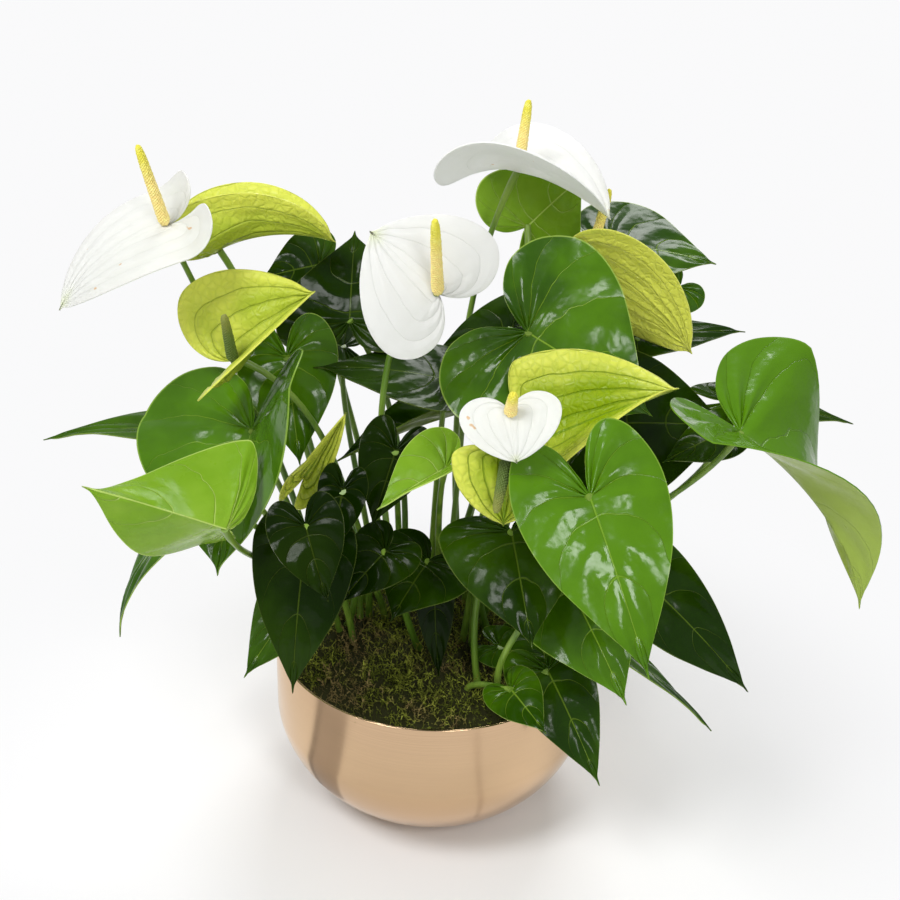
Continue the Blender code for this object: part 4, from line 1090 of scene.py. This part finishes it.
def spadix_nodes():
    """A finger set with small flowers in a spiral: a tapered core with a bump on every place."""
    tree, given, end = group_of("spadix", [
        ("Length", "Float", 0.05), ("Radius", "Float", 0.0042), ("Flowers", "Int", 420),
        ("Flower Size", "Float", 0.0011), ("Seed", "Int", 3), ("Material", "Material", None)])

    def width(share):
        """Radius of the finger at a share of its length: full, then tapering, round at the tip."""
        slim = math(tree, "MULTIPLY_ADD", share, -0.42, 1.06)
        cap = math(tree, "SUBTRACT", 1.0, math(tree, "POWER", share, 14.0), clamp=True)
        base = smooth(tree, share, 0.0, 0.07, 0.55, 1.0)
        body = math(tree, "MULTIPLY", slim, math(tree, "SQRT", cap))
        return math(tree, "MULTIPLY", math(tree, "MULTIPLY", body, base), given["Radius"])

    top = add(tree, "ShaderNodeCombineXYZ", {2: given["Length"]})
    line = add(tree, "GeometryNodeCurvePrimitiveLine", {"End": top.outputs[0]})
    fine = add(tree, "GeometryNodeResampleCurve", {"Curve": line.outputs[0], "Count": 22})
    factor = add(tree, "GeometryNodeSplineParameter").outputs["Factor"]
    core = swept(tree, fine.outputs[0], 18, width(factor))
    spots = add(tree, "GeometryNodePoints", {"Count": given["Flowers"]})
    index = add(tree, "GeometryNodeInputIndex").outputs[0]
    share = math(tree, "DIVIDE", math(tree, "ADD", index, 4.0),
                 math(tree, "ADD", given["Flowers"], 5.0))
    angle = math(tree, "MULTIPLY", index, GOLDEN_ANGLE)
    out = width(share)
    where = add(tree, "ShaderNodeCombineXYZ", {
        0: math(tree, "MULTIPLY", out, math(tree, "COSINE", angle)),
        1: math(tree, "MULTIPLY", out, math(tree, "SINE", angle)),
        2: math(tree, "MULTIPLY", share, given["Length"])})
    placed = add(tree, "GeometryNodeSetPosition",
                 {"Geometry": spots.outputs[0], "Position": where.outputs[0]})
    bud = add(tree, "GeometryNodeMeshIcoSphere",
              {"Radius": given["Flower Size"], "Subdivisions": 1})
    buds = add(tree, "GeometryNodeInstanceOnPoints", {
        "Points": placed.outputs[0], "Instance": bud.outputs[0],
        "Scale": random_between(tree, given, 0.80, 1.10)})
    real = together(tree, core, buds.outputs[0])
    place = add(tree, "GeometryNodeInputPosition").outputs[0]
    height = add(tree, "ShaderNodeSeparateXYZ", {0: place}).outputs[2]
    marked = mark(tree, real, "along", math(tree, "DIVIDE", height, given["Length"]))
    soft = add(tree, "GeometryNodeSetShadeSmooth", {0: marked})
    return closed_group(tree, given, end, soft.outputs[0])


def sprig_nodes(tree, given):
    """One sprig of moss a unit long: a bent stem with short leaflets all the way round."""
    curve = add(tree, "GeometryNodeCurveQuadraticBezier", {
        "Resolution": 4, "Start": (0.0, 0.0, -0.10), "Middle": (0.05, 0.0, 0.60),
        "End": (0.60, 0.0, 0.85)}).outputs[0]
    factor = add(tree, "GeometryNodeSplineParameter").outputs["Factor"]
    thin = math(tree, "MULTIPLY_ADD", factor, -0.80, 1.0)
    stem = swept(tree, curve, 3, math(tree, "MULTIPLY", thin, given["Stem"]))
    places = add(tree, "GeometryNodeCurveToPoints",
                 {"Curve": curve, "Count": given["Leaflets"]}).outputs
    leaflet = add(tree, "GeometryNodeMeshCone", {
        "Vertices": 3, "Side Segments": 1, "Radius Top": 0.0, "Radius Bottom": 0.05,
        "Depth": 0.26})
    index = add(tree, "GeometryNodeInputIndex").outputs[0]
    spin = add(tree, "ShaderNodeCombineXYZ", {2: math(tree, "MULTIPLY", index, 2.4)})
    turn = places["Rotation"]
    for angles in (spin.outputs[0], (1.0, 0.0, 0.0)):
        turn = add(tree, "FunctionNodeRotateEuler", {"Rotation": turn, "Rotate By": angles},
                   rotation_type="EULER", space="LOCAL").outputs[0]
    leaflets = add(tree, "GeometryNodeInstanceOnPoints", {
        "Points": places["Points"], "Instance": leaflet.outputs[0], "Rotation": turn})
    return together(tree, stem, leaflets.outputs[0])


def moss_nodes():
    """Feathery sprigs of moss, scattered over a mound, longer in clumps."""
    tree, given, end = group_of("moss sprigs", [
        ("Density", "Float", 70000.0), ("Sprig Length", "Float", 0.011), ("Stem", "Float", 0.032),
        ("Leaflets", "Int", 6), ("Seed", "Int", 11), ("Material", "Material", None)])
    mound = given["Geometry"]
    spots = add(tree, "GeometryNodeDistributePointsOnFaces",
                {"Mesh": mound, "Density": given["Density"], "Seed": given["Seed"]})
    turn = add(tree, "FunctionNodeRandomValue", {
        0: (-0.8, -0.8, 0.0), 1: (0.8, 0.8, 2 * pi), "Seed": given["Seed"]},
        data_type="FLOAT_VECTOR")
    spun = add(tree, "FunctionNodeEulerToRotation", {0: turn.outputs[0]})
    lean = add(tree, "FunctionNodeRotateRotation",
               {0: spots.outputs["Rotation"], 1: spun.outputs[0]}, rotation_space="LOCAL")
    place = add(tree, "GeometryNodeInputPosition").outputs[0]
    clump = add(tree, "ShaderNodeTexNoise", {"Vector": place, "Scale": 60.0}).outputs["Fac"]
    long = math(tree, "MULTIPLY", random_between(tree, given, 0.6, 1.25),
                smooth(tree, clump, 0.35, 0.65, 0.6, 1.2))
    flat = add(tree, "ShaderNodeVectorMath", {0: place, 1: (1.0, 1.0, 0.0)},
               operation="MULTIPLY").outputs[0]
    out = add(tree, "ShaderNodeVectorMath", {0: flat}, operation="LENGTH").outputs[1]
    by_wall = smooth(tree, out, RIM_RADIUS - 0.018, RIM_RADIUS - 0.003, 1.0, 0.35)
    long = math(tree, "MULTIPLY", long, by_wall)
    sprigs = add(tree, "GeometryNodeInstanceOnPoints", {
        "Points": spots.outputs[0], "Instance": sprig_nodes(tree, given),
        "Rotation": lean.outputs[0],
        "Scale": math(tree, "MULTIPLY", long, given["Sprig Length"])})
    # Each sprig gets a random tone from 0.25 up; the mound keeps 0, which the moss finish paints as shade
    marked = mark(tree, sprigs.outputs[0], "tone", random_between(tree, given, 0.25, 1.0),
                  domain="INSTANCE")
    return closed_group(tree, given, end, together(tree, mound, marked))


def tree_named(name, build):
    """The node group of this name, built the first time that it is asked for."""
    return bpy.data.node_groups.get(name) or build()


def grown(obj, tree, values):
    """The plain mesh that the node group makes of the object, with its inputs set by name."""
    modifier = obj.modifiers.new(tree.name, "NODES")
    modifier.node_group = tree
    for item in tree.interface.items_tree:
        if item.item_type == "SOCKET" and item.in_out == "INPUT" and item.name in values:
            modifier[item.identifier] = values[item.name]
    return evaluated(obj)


def stalk_mesh(look, knots, mat):
    """A fine stalk along the bent path between the knots."""
    steps = range(STALK_STEPS + 1)
    points = [tuple(bezier(*knots, i / STALK_STEPS)[0]) for i in steps]
    mesh = bpy.data.meshes.new("path")
    mesh.from_pydata(points, list(zip(steps, steps[1:])), [])
    tree = tree_named("stalk along path", stalk_nodes)
    return grown(linked("path", mesh), tree, {
        "Foot Radius": look.stalk_foot_radius, "Top Radius": look.stalk_top_radius,
        "Material": mat})


def spadix_mesh(look, base, top, mat):
    """A spadix between two points."""
    way = top - base
    tree = tree_named("spadix", spadix_nodes)
    mesh = grown(linked("finger", bpy.data.meshes.new("finger")), tree, {
        "Length": way.length, "Radius": look.spadix_radius,
        "Flowers": int(FLOWERS_PER_METRE * way.length), "Material": mat})
    turn = way.to_track_quat("Z", "X").to_matrix().to_4x4()
    mesh.transform(Matrix.Translation(base) @ turn)
    return mesh


def blade_piece(look, piece, number):
    """One leaf or spathe with its stalk, as one object in place of its model node."""
    kinds = finishes(look)
    face = piece["kind"]
    back = "leaf_under" if face == "leaf" else face
    style = STYLES[piece["kind"]]
    blade = linked("blade", skin("blade", piece["blade"], style, PHASE_STEP * number))
    solid = blade.modifiers.new("thickness", "SOLIDIFY")
    solid.thickness = look.blade_thickness
    solid.offset = 0.0
    solid.use_even_offset = False
    solid.material_offset = 1
    solid.material_offset_rim = 0
    blade.data.materials.append(kinds[face])
    blade.data.materials.append(kinds[back])
    body = evaluated(blade)
    stalk = stalk_mesh(look, piece["knots"], kinds["stalk"])
    obj = joined("fine_" + piece["name"], [(body, 0), (stalk, 2)],
                 [kinds[face], kinds[back], kinds["stalk"]])
    # Every point carries the piece's tone: its own colour with painted light and shade
    tone = obj.data.attributes.new("tone", "FLOAT", "POINT")
    tone.data.foreach_set("value", [piece["tone"]] * len(obj.data.vertices))
    obj.data.shade_smooth()
    obj.data.set_sharp_from_angle(angle=radians(60))
    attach(obj, "root")
    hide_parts(piece["name"])
    return obj


def spadix_piece(look, piece):
    """The spadix of a flower, in place of its model node."""
    kinds = finishes(look)
    path = finger(piece)
    mesh = spadix_mesh(look, path[0], path[-1], kinds[piece["spadix_kind"]])
    obj = linked("fine_" + piece["spadix_name"], mesh)
    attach(obj, "root")
    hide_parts(piece["spadix_name"])
    return obj


def grown_plant():
    """The pieces of the plant with their blades spread and their stalks laid; made once."""
    if not PLANT:
        build_leaves()
        build_flowers()
        for piece in PLANT:
            piece["shape"] = shape_of(piece)
        shapes = [piece["shape"] for piece in PLANT]
        spread(shapes)
        space = Space(shapes)
        for piece in PLANT:
            shift = piece["shape"].shift
            piece["blade"].sinus = piece["blade"].sinus + shift
            if piece["spadix"]:
                piece["spadix"] = Vector(piece["spadix"]) + shift * 100
        for piece in PLANT:
            piece["knots"] = stalk_route(space, piece)
    return PLANT


# ---- stage

def soft_light(name, place, size, power):
    """A soft lamp that shines at the middle of the plant."""
    lamp = bpy.data.lights.new(name, "AREA")
    lamp.shape = "RECTANGLE"
    lamp.size, lamp.size_y = size
    lamp.energy = power
    obj = linked(name, lamp)
    obj.location = place
    obj.rotation_euler = (PLANT_MIDDLE - Vector(place)).to_track_quat("-Z", "Y").to_euler()


def seen_directly(tree):
    """One where a camera, glossy or transmission ray looks, zero where light bounces."""
    path = add(tree, "ShaderNodeLightPath")
    seen = math(tree, "MAXIMUM", path.outputs["Is Camera Ray"], path.outputs["Is Glossy Ray"])
    return math(tree, "MAXIMUM", seen, path.outputs["Is Transmission Ray"])


def card_mesh(name, corners):
    """A flat card with four corners."""
    mesh = bpy.data.meshes.new(name)
    mesh.from_pydata(corners, [], [(0, 1, 2, 3)])
    return mesh


def make_floor(stage):
    """A pale floor that takes the soft shadow near the bowl and turns even and pale beyond it."""
    mesh = card_mesh("floor", [(x * 0.5 * stage.floor_size, y * 0.5 * stage.floor_size, 0)
                               for x, y in ((-1, -1), (1, -1), (1, 1), (-1, 1))])
    mat, tree, shader = new_material("pale_floor", 0.9, specular=0.0)
    shader.inputs["Emission Color"].default_value = FAR_FLOOR_GLOW
    out = add(tree, "ShaderNodeVectorMath", {0: own_place(tree)}, operation="LENGTH").outputs[1]
    even = math(tree, "MULTIPLY", smooth(tree, out, 0.15, 0.52), seen_directly(tree))
    shade = mix(tree, even, tuple(stage.floor_colour), (0.0, 0.0, 0.0))
    tree.links.new(shade, shader.inputs["Base Color"])
    tree.links.new(even, shader.inputs["Emission Strength"])
    mesh.materials.append(mat)
    linked("floor", mesh)


def make_cards(stage):
    """Dark cards that lie on the floor and show only as soft bands in the bowl's metal."""
    for name, side, start, stop, share in CARDS:
        mat, _, shader = new_material(name, 0.9, specular=0.0)
        shade = [share * v for v in stage.card_colour]
        shader.inputs["Base Color"].default_value = (*shade, 1.0)
        inner, outer = CARD_REACH
        mesh = card_mesh(name, [
            (side * r * sin(radians(a)), -r * cos(radians(a)), CARD_HEIGHT)
            for r, a in ((inner, start), (outer, start), (outer, stop), (inner, stop))])
        mesh.materials.append(mat)
        card = linked(name, mesh)
        card.visible_camera = card.visible_diffuse = card.visible_shadow = False


def make_world(strength):
    """An even white surrounding that lights the plant at the strength and looks pure white."""
    world = bpy.context.scene.world or bpy.data.worlds.new("studio")
    bpy.context.scene.world = world
    world.use_nodes = True
    tree = world.node_tree
    sky = tree.nodes["Background"]
    sky.inputs["Color"].default_value = (1.0, 1.0, 1.0, 1.0)
    seen = add(tree, "ShaderNodeLightPath").outputs["Is Camera Ray"]
    tree.links.new(mix(tree, seen, (strength,) * 3, (1.0, 1.0, 1.0)), sky.inputs["Strength"])


def make_camera(lens):
    """The camera, which looks down at the plant from the front and is rolled a little."""
    camera = bpy.data.cameras.new("camera")
    camera.lens = lens
    camera.sensor_width = 36.0
    obj = linked("camera", camera)
    down, roll = radians(CAMERA_DOWN), radians(CAMERA_ROLL)
    forward = Vector((0.0, cos(down), -sin(down)))
    side = Vector((1.0, 0.0, 0.0))
    upward = side.cross(forward)
    right = side * cos(roll) + upward * sin(roll)
    top = upward * cos(roll) - side * sin(roll)
    turn = Matrix((right, top, -forward)).transposed().to_4x4()
    obj.matrix_world = Matrix.Translation(CAMERA_PLACE) @ turn
    bpy.context.scene.camera = obj


def make_stage(stage):
    make_floor(stage)
    make_cards(stage)
    make_world(stage.sky_strength)
    soft_light("key_light", (-0.9, -0.9, 1.9), (0.7, 0.7), stage.key_power)
    soft_light("fill_light", (0.45, -1.35, 1.35), (0.4, 0.4), stage.fill_power)
    soft_light("back_light", (0.3, 1.3, 1.7), (1.0, 0.6), stage.back_power)
    make_camera(stage.camera_lens)
    bpy.context.scene.view_settings.view_transform = "Standard"


# ---- settings

def colour_setting(name, text, value):
    return bpy.props.FloatVectorProperty(
        name=name, description=text, default=value, subtype="COLOR", size=3, min=0.0, max=1.0)


def length_setting(name, text, value):
    return bpy.props.FloatProperty(
        name=name, description=text, default=value, unit="LENGTH", precision=4, min=0.0)


class AnthuriumPlantSettings(bpy.types.PropertyGroup):
    """Sizes and colours of leaves and flowers."""

    blade_thickness: length_setting("Blade Thickness", "Thickness of leaves and spathes", 0.0009)
    stalk_foot_radius: length_setting("Stalk Foot", "Radius of a stalk at the soil", 0.0028)
    stalk_top_radius: length_setting("Stalk Top", "Radius of a stalk below its blade", 0.0020)
    spadix_radius: length_setting("Spadix", "Radius of a spadix", 0.0034)
    leaf_gloss: bpy.props.FloatProperty(
        name="Leaf Roughness", description="Roughness of the leaves' upper side", default=0.17,
        min=0.0, max=1.0, subtype="FACTOR")
    leaf_colour: colour_setting("Leaf", "Dark green of a grown leaf", (0.027, 0.088, 0.001))
    leaf_light_colour: colour_setting("Leaf Light", "Lighter patches of a leaf", (0.090, 0.230, 0.003))
    vein_colour: colour_setting("Vein", "Veins on the upper side", (0.240, 0.410, 0.030))
    margin_colour: colour_setting("Margin", "Thin line along the edge", (0.330, 0.480, 0.080))
    underside_colour: colour_setting("Underside", "Lower side of a leaf", (0.215, 0.335, 0.025))
    underside_light_colour: colour_setting("Underside Light", "Its lighter patches", (0.330, 0.450, 0.060))
    young_colour: colour_setting("Young Leaf", "Green of a young leaf", (0.170, 0.340, 0.010))
    young_light_colour: colour_setting("Young Light", "Its lighter patches", (0.310, 0.490, 0.050))
    young_vein_colour: colour_setting("Young Vein", "Its veins", (0.480, 0.640, 0.150))
    stalk_colour: colour_setting("Stalk", "Green of the stalks", (0.090, 0.190, 0.015))
    stalk_light_colour: colour_setting("Stalk Light", "Lighter streaks and tops", (0.230, 0.360, 0.045))
    white_colour: colour_setting("White Spathe", "White of the spathes", (0.800, 0.805, 0.775))
    white_light_colour: colour_setting("White Light", "Its lighter patches", (0.860, 0.862, 0.845))
    white_vein_colour: colour_setting("White Vein", "Faint veins on white", (0.700, 0.725, 0.620))
    white_tip_colour: colour_setting("White Tip", "Tip of a white spathe", (0.700, 0.780, 0.450))
    blemish_colour: colour_setting("Blemish", "Small spots on old spathes", (0.650, 0.360, 0.120))
    lime_colour: colour_setting("Lime Spathe", "Green of a lime spathe", (0.250, 0.365, 0.002))
    lime_light_colour: colour_setting("Lime Light", "Its pale skin and edge", (0.720, 0.760, 0.110))
    lime_vein_colour: colour_setting("Lime Vein", "Its darker veins", (0.170, 0.300, 0.008))
    spadix_colour: colour_setting("Spadix Colour", "Yellow of a ripe spadix", (0.930, 0.760, 0.280))
    spadix_tip_colour: colour_setting("Spadix Tip", "Its tip", (0.780, 0.720, 0.060))
    green_spadix_colour: colour_setting("Old Spadix", "Green of an old spadix", (0.110, 0.170, 0.030))
    green_spadix_tip_colour: colour_setting("Old Spadix Tip", "Its tip", (0.240, 0.260, 0.050))


class AnthuriumPotSettings(bpy.types.PropertyGroup):
    """Sizes and colours of the bowl, the soil and the moss."""

    segments: bpy.props.IntProperty(
        name="Segments", description="Sides of the turned bowl", default=192, min=16)
    metal_colour: colour_setting("Metal", "Champagne gold of the bowl", (0.670, 0.465, 0.285))
    metal_roughness: bpy.props.FloatProperty(
        name="Metal Roughness", description="Roughness of the satin bowl", default=0.17,
        min=0.0, max=1.0, subtype="FACTOR")
    soil_colour: colour_setting("Soil", "Dark potting soil", (0.030, 0.019, 0.011))
    soil_light_colour: colour_setting("Soil Light", "Dry crumbs", (0.090, 0.060, 0.036))
    moss_density: bpy.props.FloatProperty(
        name="Moss Density", description="Sprigs on a square metre", default=70000.0, min=0.0)
    moss_length: length_setting("Moss Length", "Length of a sprig", 0.011)
    moss_colour: colour_setting("Moss", "Olive green strands", (0.085, 0.110, 0.008))
    moss_light_colour: colour_setting("Moss Light", "Fresh tips", (0.330, 0.370, 0.050))
    moss_dry_colour: colour_setting("Moss Dry", "Dry tan patches", (0.330, 0.230, 0.100))
    # Painted shade: the colour laid on the ground under the strands and in patches among them
    moss_painted_shade_colour: colour_setting("Moss Dark", "Depth between strands", (0.028, 0.029, 0.008))


class AnthuriumStageSettings(bpy.types.PropertyGroup):
    """The floor, the light and the camera."""

    floor_size: length_setting("Floor Size", "Side of the square floor", 14.0)
    floor_colour: colour_setting("Floor", "Pale floor", (0.900, 0.900, 0.905))
    card_colour: colour_setting("Dark Card", "Cards that the metal shows", (0.300, 0.290, 0.290))
    key_power: bpy.props.FloatProperty(
        name="Key Light", description="Power of the large soft light", default=22.5, min=0.0)
    fill_power: bpy.props.FloatProperty(
        name="Fill Light", description="Power of the weaker light", default=8.0, min=0.0)
    back_power: bpy.props.FloatProperty(
        name="Back Light", description="Power of the light behind", default=16.0, min=0.0)
    sky_strength: bpy.props.FloatProperty(
        name="Surrounding Light", description="Strength of the even light", default=0.44, min=0.0)
    camera_lens: bpy.props.FloatProperty(
        name="Lens", description="Focal length in millimetres", default=59.0, min=1.0)


# ---- bowl, soil and moss

def metal_finish(pot):
    """Satin metal with fine lines from spinning and a faint cloudiness."""
    rough = pot.metal_roughness
    mat, tree, shader = new_material("satin_metal", rough, metallic=1.0)
    colour = tuple(pot.metal_colour)
    deep = [0.90 * v for v in colour]
    bright = [min(1.0, 1.06 * v) for v in colour]
    spun = noise(tree, 6.0, 4.0, stretch=(0.15, 0.15, 260.0))
    cloud = smooth(tree, noise(tree, 9.0, 2.0), 0.3, 0.7, 0.0, 0.35)
    tint = mix(tree, cloud, mix(tree, smooth(tree, spun, 0.35, 0.65), deep, colour), bright)
    satin = smooth(tree, spun, 0.3, 0.7, 0.85 * rough, 1.2 * rough)
    tree.links.new(tint, shader.inputs["Base Color"])
    tree.links.new(satin, shader.inputs["Roughness"])
    bumped(tree, shader, spun, 0.00004, 0.6)
    return mat


def soil_finish(pot):
    """Dark soil with dry crumbs."""
    mat, tree, shader = new_material("potting_soil", 0.95)
    c = colours(pot)
    crumbs = noise(tree, 260.0, 6.0)
    colour = mix(tree, smooth(tree, crumbs, 0.45, 0.7), c["soil"], c["soil_light"])
    tree.links.new(colour, shader.inputs["Base Color"])
    bumped(tree, shader, crumbs, 0.003)
    return mat


def moss_finish(pot):
    """Moss, freshest at its tips, with dry patches, and painted shade: darkest on the ground under the
    strands and in random patches among them.
    """
    mat, tree, shader = new_material("moss", 0.8, specular=0.15)
    c = colours(pot)
    tone = attribute(tree, "tone")
    fresh = smooth(tree, tone, 0.35, 1.0)
    green = mix(tree, fresh, c["moss"], c["moss_light"])
    dry = mix(tree, fresh, [0.45 * v for v in c["moss_dry"]], c["moss_dry"])
    patch = smooth(tree, noise(tree, 24.0, 4.0), 0.50, 0.62, 0.0, 0.9)
    colour = mix(tree, patch, green, dry)
    # Painted shade: the ground under the strands, whose tone is 0, and random patches take the dark colour
    for painted_shade in (smooth(tree, tone, 0.0, 0.2, 1.0, 0.0),
                  smooth(tree, noise(tree, 130.0, 2.0), 0.30, 0.62, 0.55, 0.0)):
        colour = mix(tree, painted_shade, colour, c["moss_dark"])
    tree.links.new(colour, shader.inputs["Base Color"])
    bumped(tree, shader, noise(tree, 700.0, 2.0), 0.0004)
    return mat


def make_bowl(pot):
    """The bowl as one turned wall with a rounded rim and a flat foot."""
    rim = 0.25 * WALL
    outside = wall_profile(0.0, POT_HEIGHT - rim, 40)
    inside = wall_profile(WALL, POT_HEIGHT - rim, 30)
    middle = RIM_RADIUS - 0.5 * WALL
    angles = [pi * i / 8 for i in range(1, 8)]
    lip = [(middle + 0.5 * WALL * cos(a), POT_HEIGHT - rim + rim * sin(a)) for a in angles]
    foot = outside[-1][0]
    path = [(0, 0), (0.5 * foot, 0), (foot - 0.002, 0)]
    path += outside[::-1] + lip + inside + [(0, WALL)]
    bm = bmesh.new()
    corners = [bm.verts.new((r, 0.0, z)) for r, z in path]
    edges = [bm.edges.new(pair) for pair in zip(corners, corners[1:])]
    bmesh.ops.spin(bm, geom=corners + edges, cent=(0, 0, 0), axis=(0, 0, 1), angle=2 * pi,
                   steps=pot.segments, use_merge=True)
    bmesh.ops.remove_doubles(bm, verts=bm.verts, dist=1e-6)
    bmesh.ops.recalc_face_normals(bm, faces=bm.faces)
    mesh = mesh_from(bm, "bowl")
    mesh.materials.append(metal_finish(pot))
    mesh.shade_smooth()
    mesh.set_sharp_from_angle(angle=radians(50))
    obj = linked("spun_bowl", mesh)
    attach(obj, "root")
    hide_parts("pot")
    return obj


def mound_mesh():
    """The ground under the strands: the moss's own lumpy top, a little lower."""
    reach = RIM_RADIUS - WALL - 0.0012
    rings, segments = 40, 96
    bm = bmesh.new()

    def vertex(x, y):
        return bm.verts.new((x, y, moss_height(x, y) - MOUND_DEPTH))

    middle = vertex(0, 0)
    previous = None
    for i in range(1, rings + 1):
        angles = [2 * pi * k / segments for k in range(segments)]
        ring = [vertex(reach * i / rings * cos(a), reach * i / rings * sin(a)) for a in angles]
        for k in range(segments):
            n = (k + 1) % segments
            if previous is None:
                bm.faces.new((middle, ring[k], ring[n]))
            else:
                bm.faces.new((previous[k], ring[k], ring[n], previous[n]))
        previous = ring
    return mesh_from(bm, "mound")


def make_moss(pot):
    """The moss: a mound covered with sprigs."""
    tree = tree_named("moss sprigs", moss_nodes)
    mesh = grown(linked("mound", mound_mesh()), tree, {
        "Density": pot.moss_density, "Sprig Length": pot.moss_length,
        "Material": moss_finish(pot)})
    obj = linked("moss_cushion", mesh)
    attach(obj, "root")
    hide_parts("moss")
    return obj


# ---- operators

class ANTHURIUM_OT_bowl(bpy.types.Operator):
    """Make the spun metal bowl"""
    bl_idname = "anthurium.bowl"
    bl_label = "Bowl"

    def execute(self, context):
        make_bowl(context.scene.anthurium_pot)
        return {"FINISHED"}


class ANTHURIUM_OT_soil(bpy.types.Operator):
    """Give the soil in the bowl its crumbly finish"""
    bl_idname = "anthurium.soil"
    bl_label = "Soil"

    def execute(self, context):
        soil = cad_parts["soil"]
        soil.data.materials.clear()
        soil.data.materials.append(soil_finish(context.scene.anthurium_pot))
        return {"FINISHED"}


class ANTHURIUM_OT_moss(bpy.types.Operator):
    """Cover the soil with moss strands"""
    bl_idname = "anthurium.moss"
    bl_label = "Moss"

    def execute(self, context):
        make_moss(context.scene.anthurium_pot)
        return {"FINISHED"}


class ANTHURIUM_OT_leaves(bpy.types.Operator):
    """Make every leaf with its stalk"""
    bl_idname = "anthurium.leaves"
    bl_label = "Leaves"

    def execute(self, context):
        look = context.scene.anthurium_plant
        for number, piece in enumerate(grown_plant()):
            if piece["name"].startswith("leaf"):
                blade_piece(look, piece, number)
        return {"FINISHED"}


class ANTHURIUM_OT_flowers(bpy.types.Operator):
    """Make every spathe with its stalk and its spadix"""
    bl_idname = "anthurium.flowers"
    bl_label = "Flowers"

    def execute(self, context):
        look = context.scene.anthurium_plant
        for number, piece in enumerate(grown_plant()):
            if piece["name"].startswith("spathe"):
                blade_piece(look, piece, number)
                if piece["spadix"]:
                    spadix_piece(look, piece)
        return {"FINISHED"}


class ANTHURIUM_OT_stage(bpy.types.Operator):
    """Set up the pale floor, the soft lights and the camera"""
    bl_idname = "anthurium.stage"
    bl_label = "Stage"

    def execute(self, context):
        make_stage(context.scene.anthurium_stage)
        return {"FINISHED"}


class ANTHURIUM_PT_panel(bpy.types.Panel):
    """Lists the settings and the steps of the potted anthurium"""
    bl_idname = "ANTHURIUM_PT_panel"
    bl_label = "Potted Anthurium"
    bl_space_type = "VIEW_3D"
    bl_region_type = "UI"
    bl_category = "Anthurium"

    def draw(self, context):
        for operator in OPERATORS:
            self.layout.operator(operator.bl_idname)
        for settings in (context.scene.anthurium_plant, context.scene.anthurium_pot,
                         context.scene.anthurium_stage):
            box = self.layout.box()
            for key in settings.bl_rna.properties.keys():
                if key not in ("rna_type", "name"):
                    box.prop(settings, key)


OPERATORS = (ANTHURIUM_OT_stage, ANTHURIUM_OT_bowl, ANTHURIUM_OT_soil, ANTHURIUM_OT_moss,
             ANTHURIUM_OT_leaves, ANTHURIUM_OT_flowers)
SETTINGS = {"anthurium_plant": AnthuriumPlantSettings, "anthurium_pot": AnthuriumPotSettings,
            "anthurium_stage": AnthuriumStageSettings}


def register():
    for kind in (*SETTINGS.values(), *OPERATORS, ANTHURIUM_PT_panel):
        bpy.utils.register_class(kind)
    for key, kind in SETTINGS.items():
        setattr(bpy.types.Scene, key, bpy.props.PointerProperty(type=kind))


def unregister():
    for key in SETTINGS:
        delattr(bpy.types.Scene, key)
    for kind in (ANTHURIUM_PT_panel, *OPERATORS[::-1], *SETTINGS.values()):
        bpy.utils.unregister_class(kind)


def main():
    register()
    bpy.ops.anthurium.stage()
    bpy.ops.anthurium.bowl()
    bpy.ops.anthurium.soil()
    bpy.ops.anthurium.moss()
    bpy.ops.anthurium.leaves()
    bpy.ops.anthurium.flowers()
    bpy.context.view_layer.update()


if __name__ == "__main__":
    main()
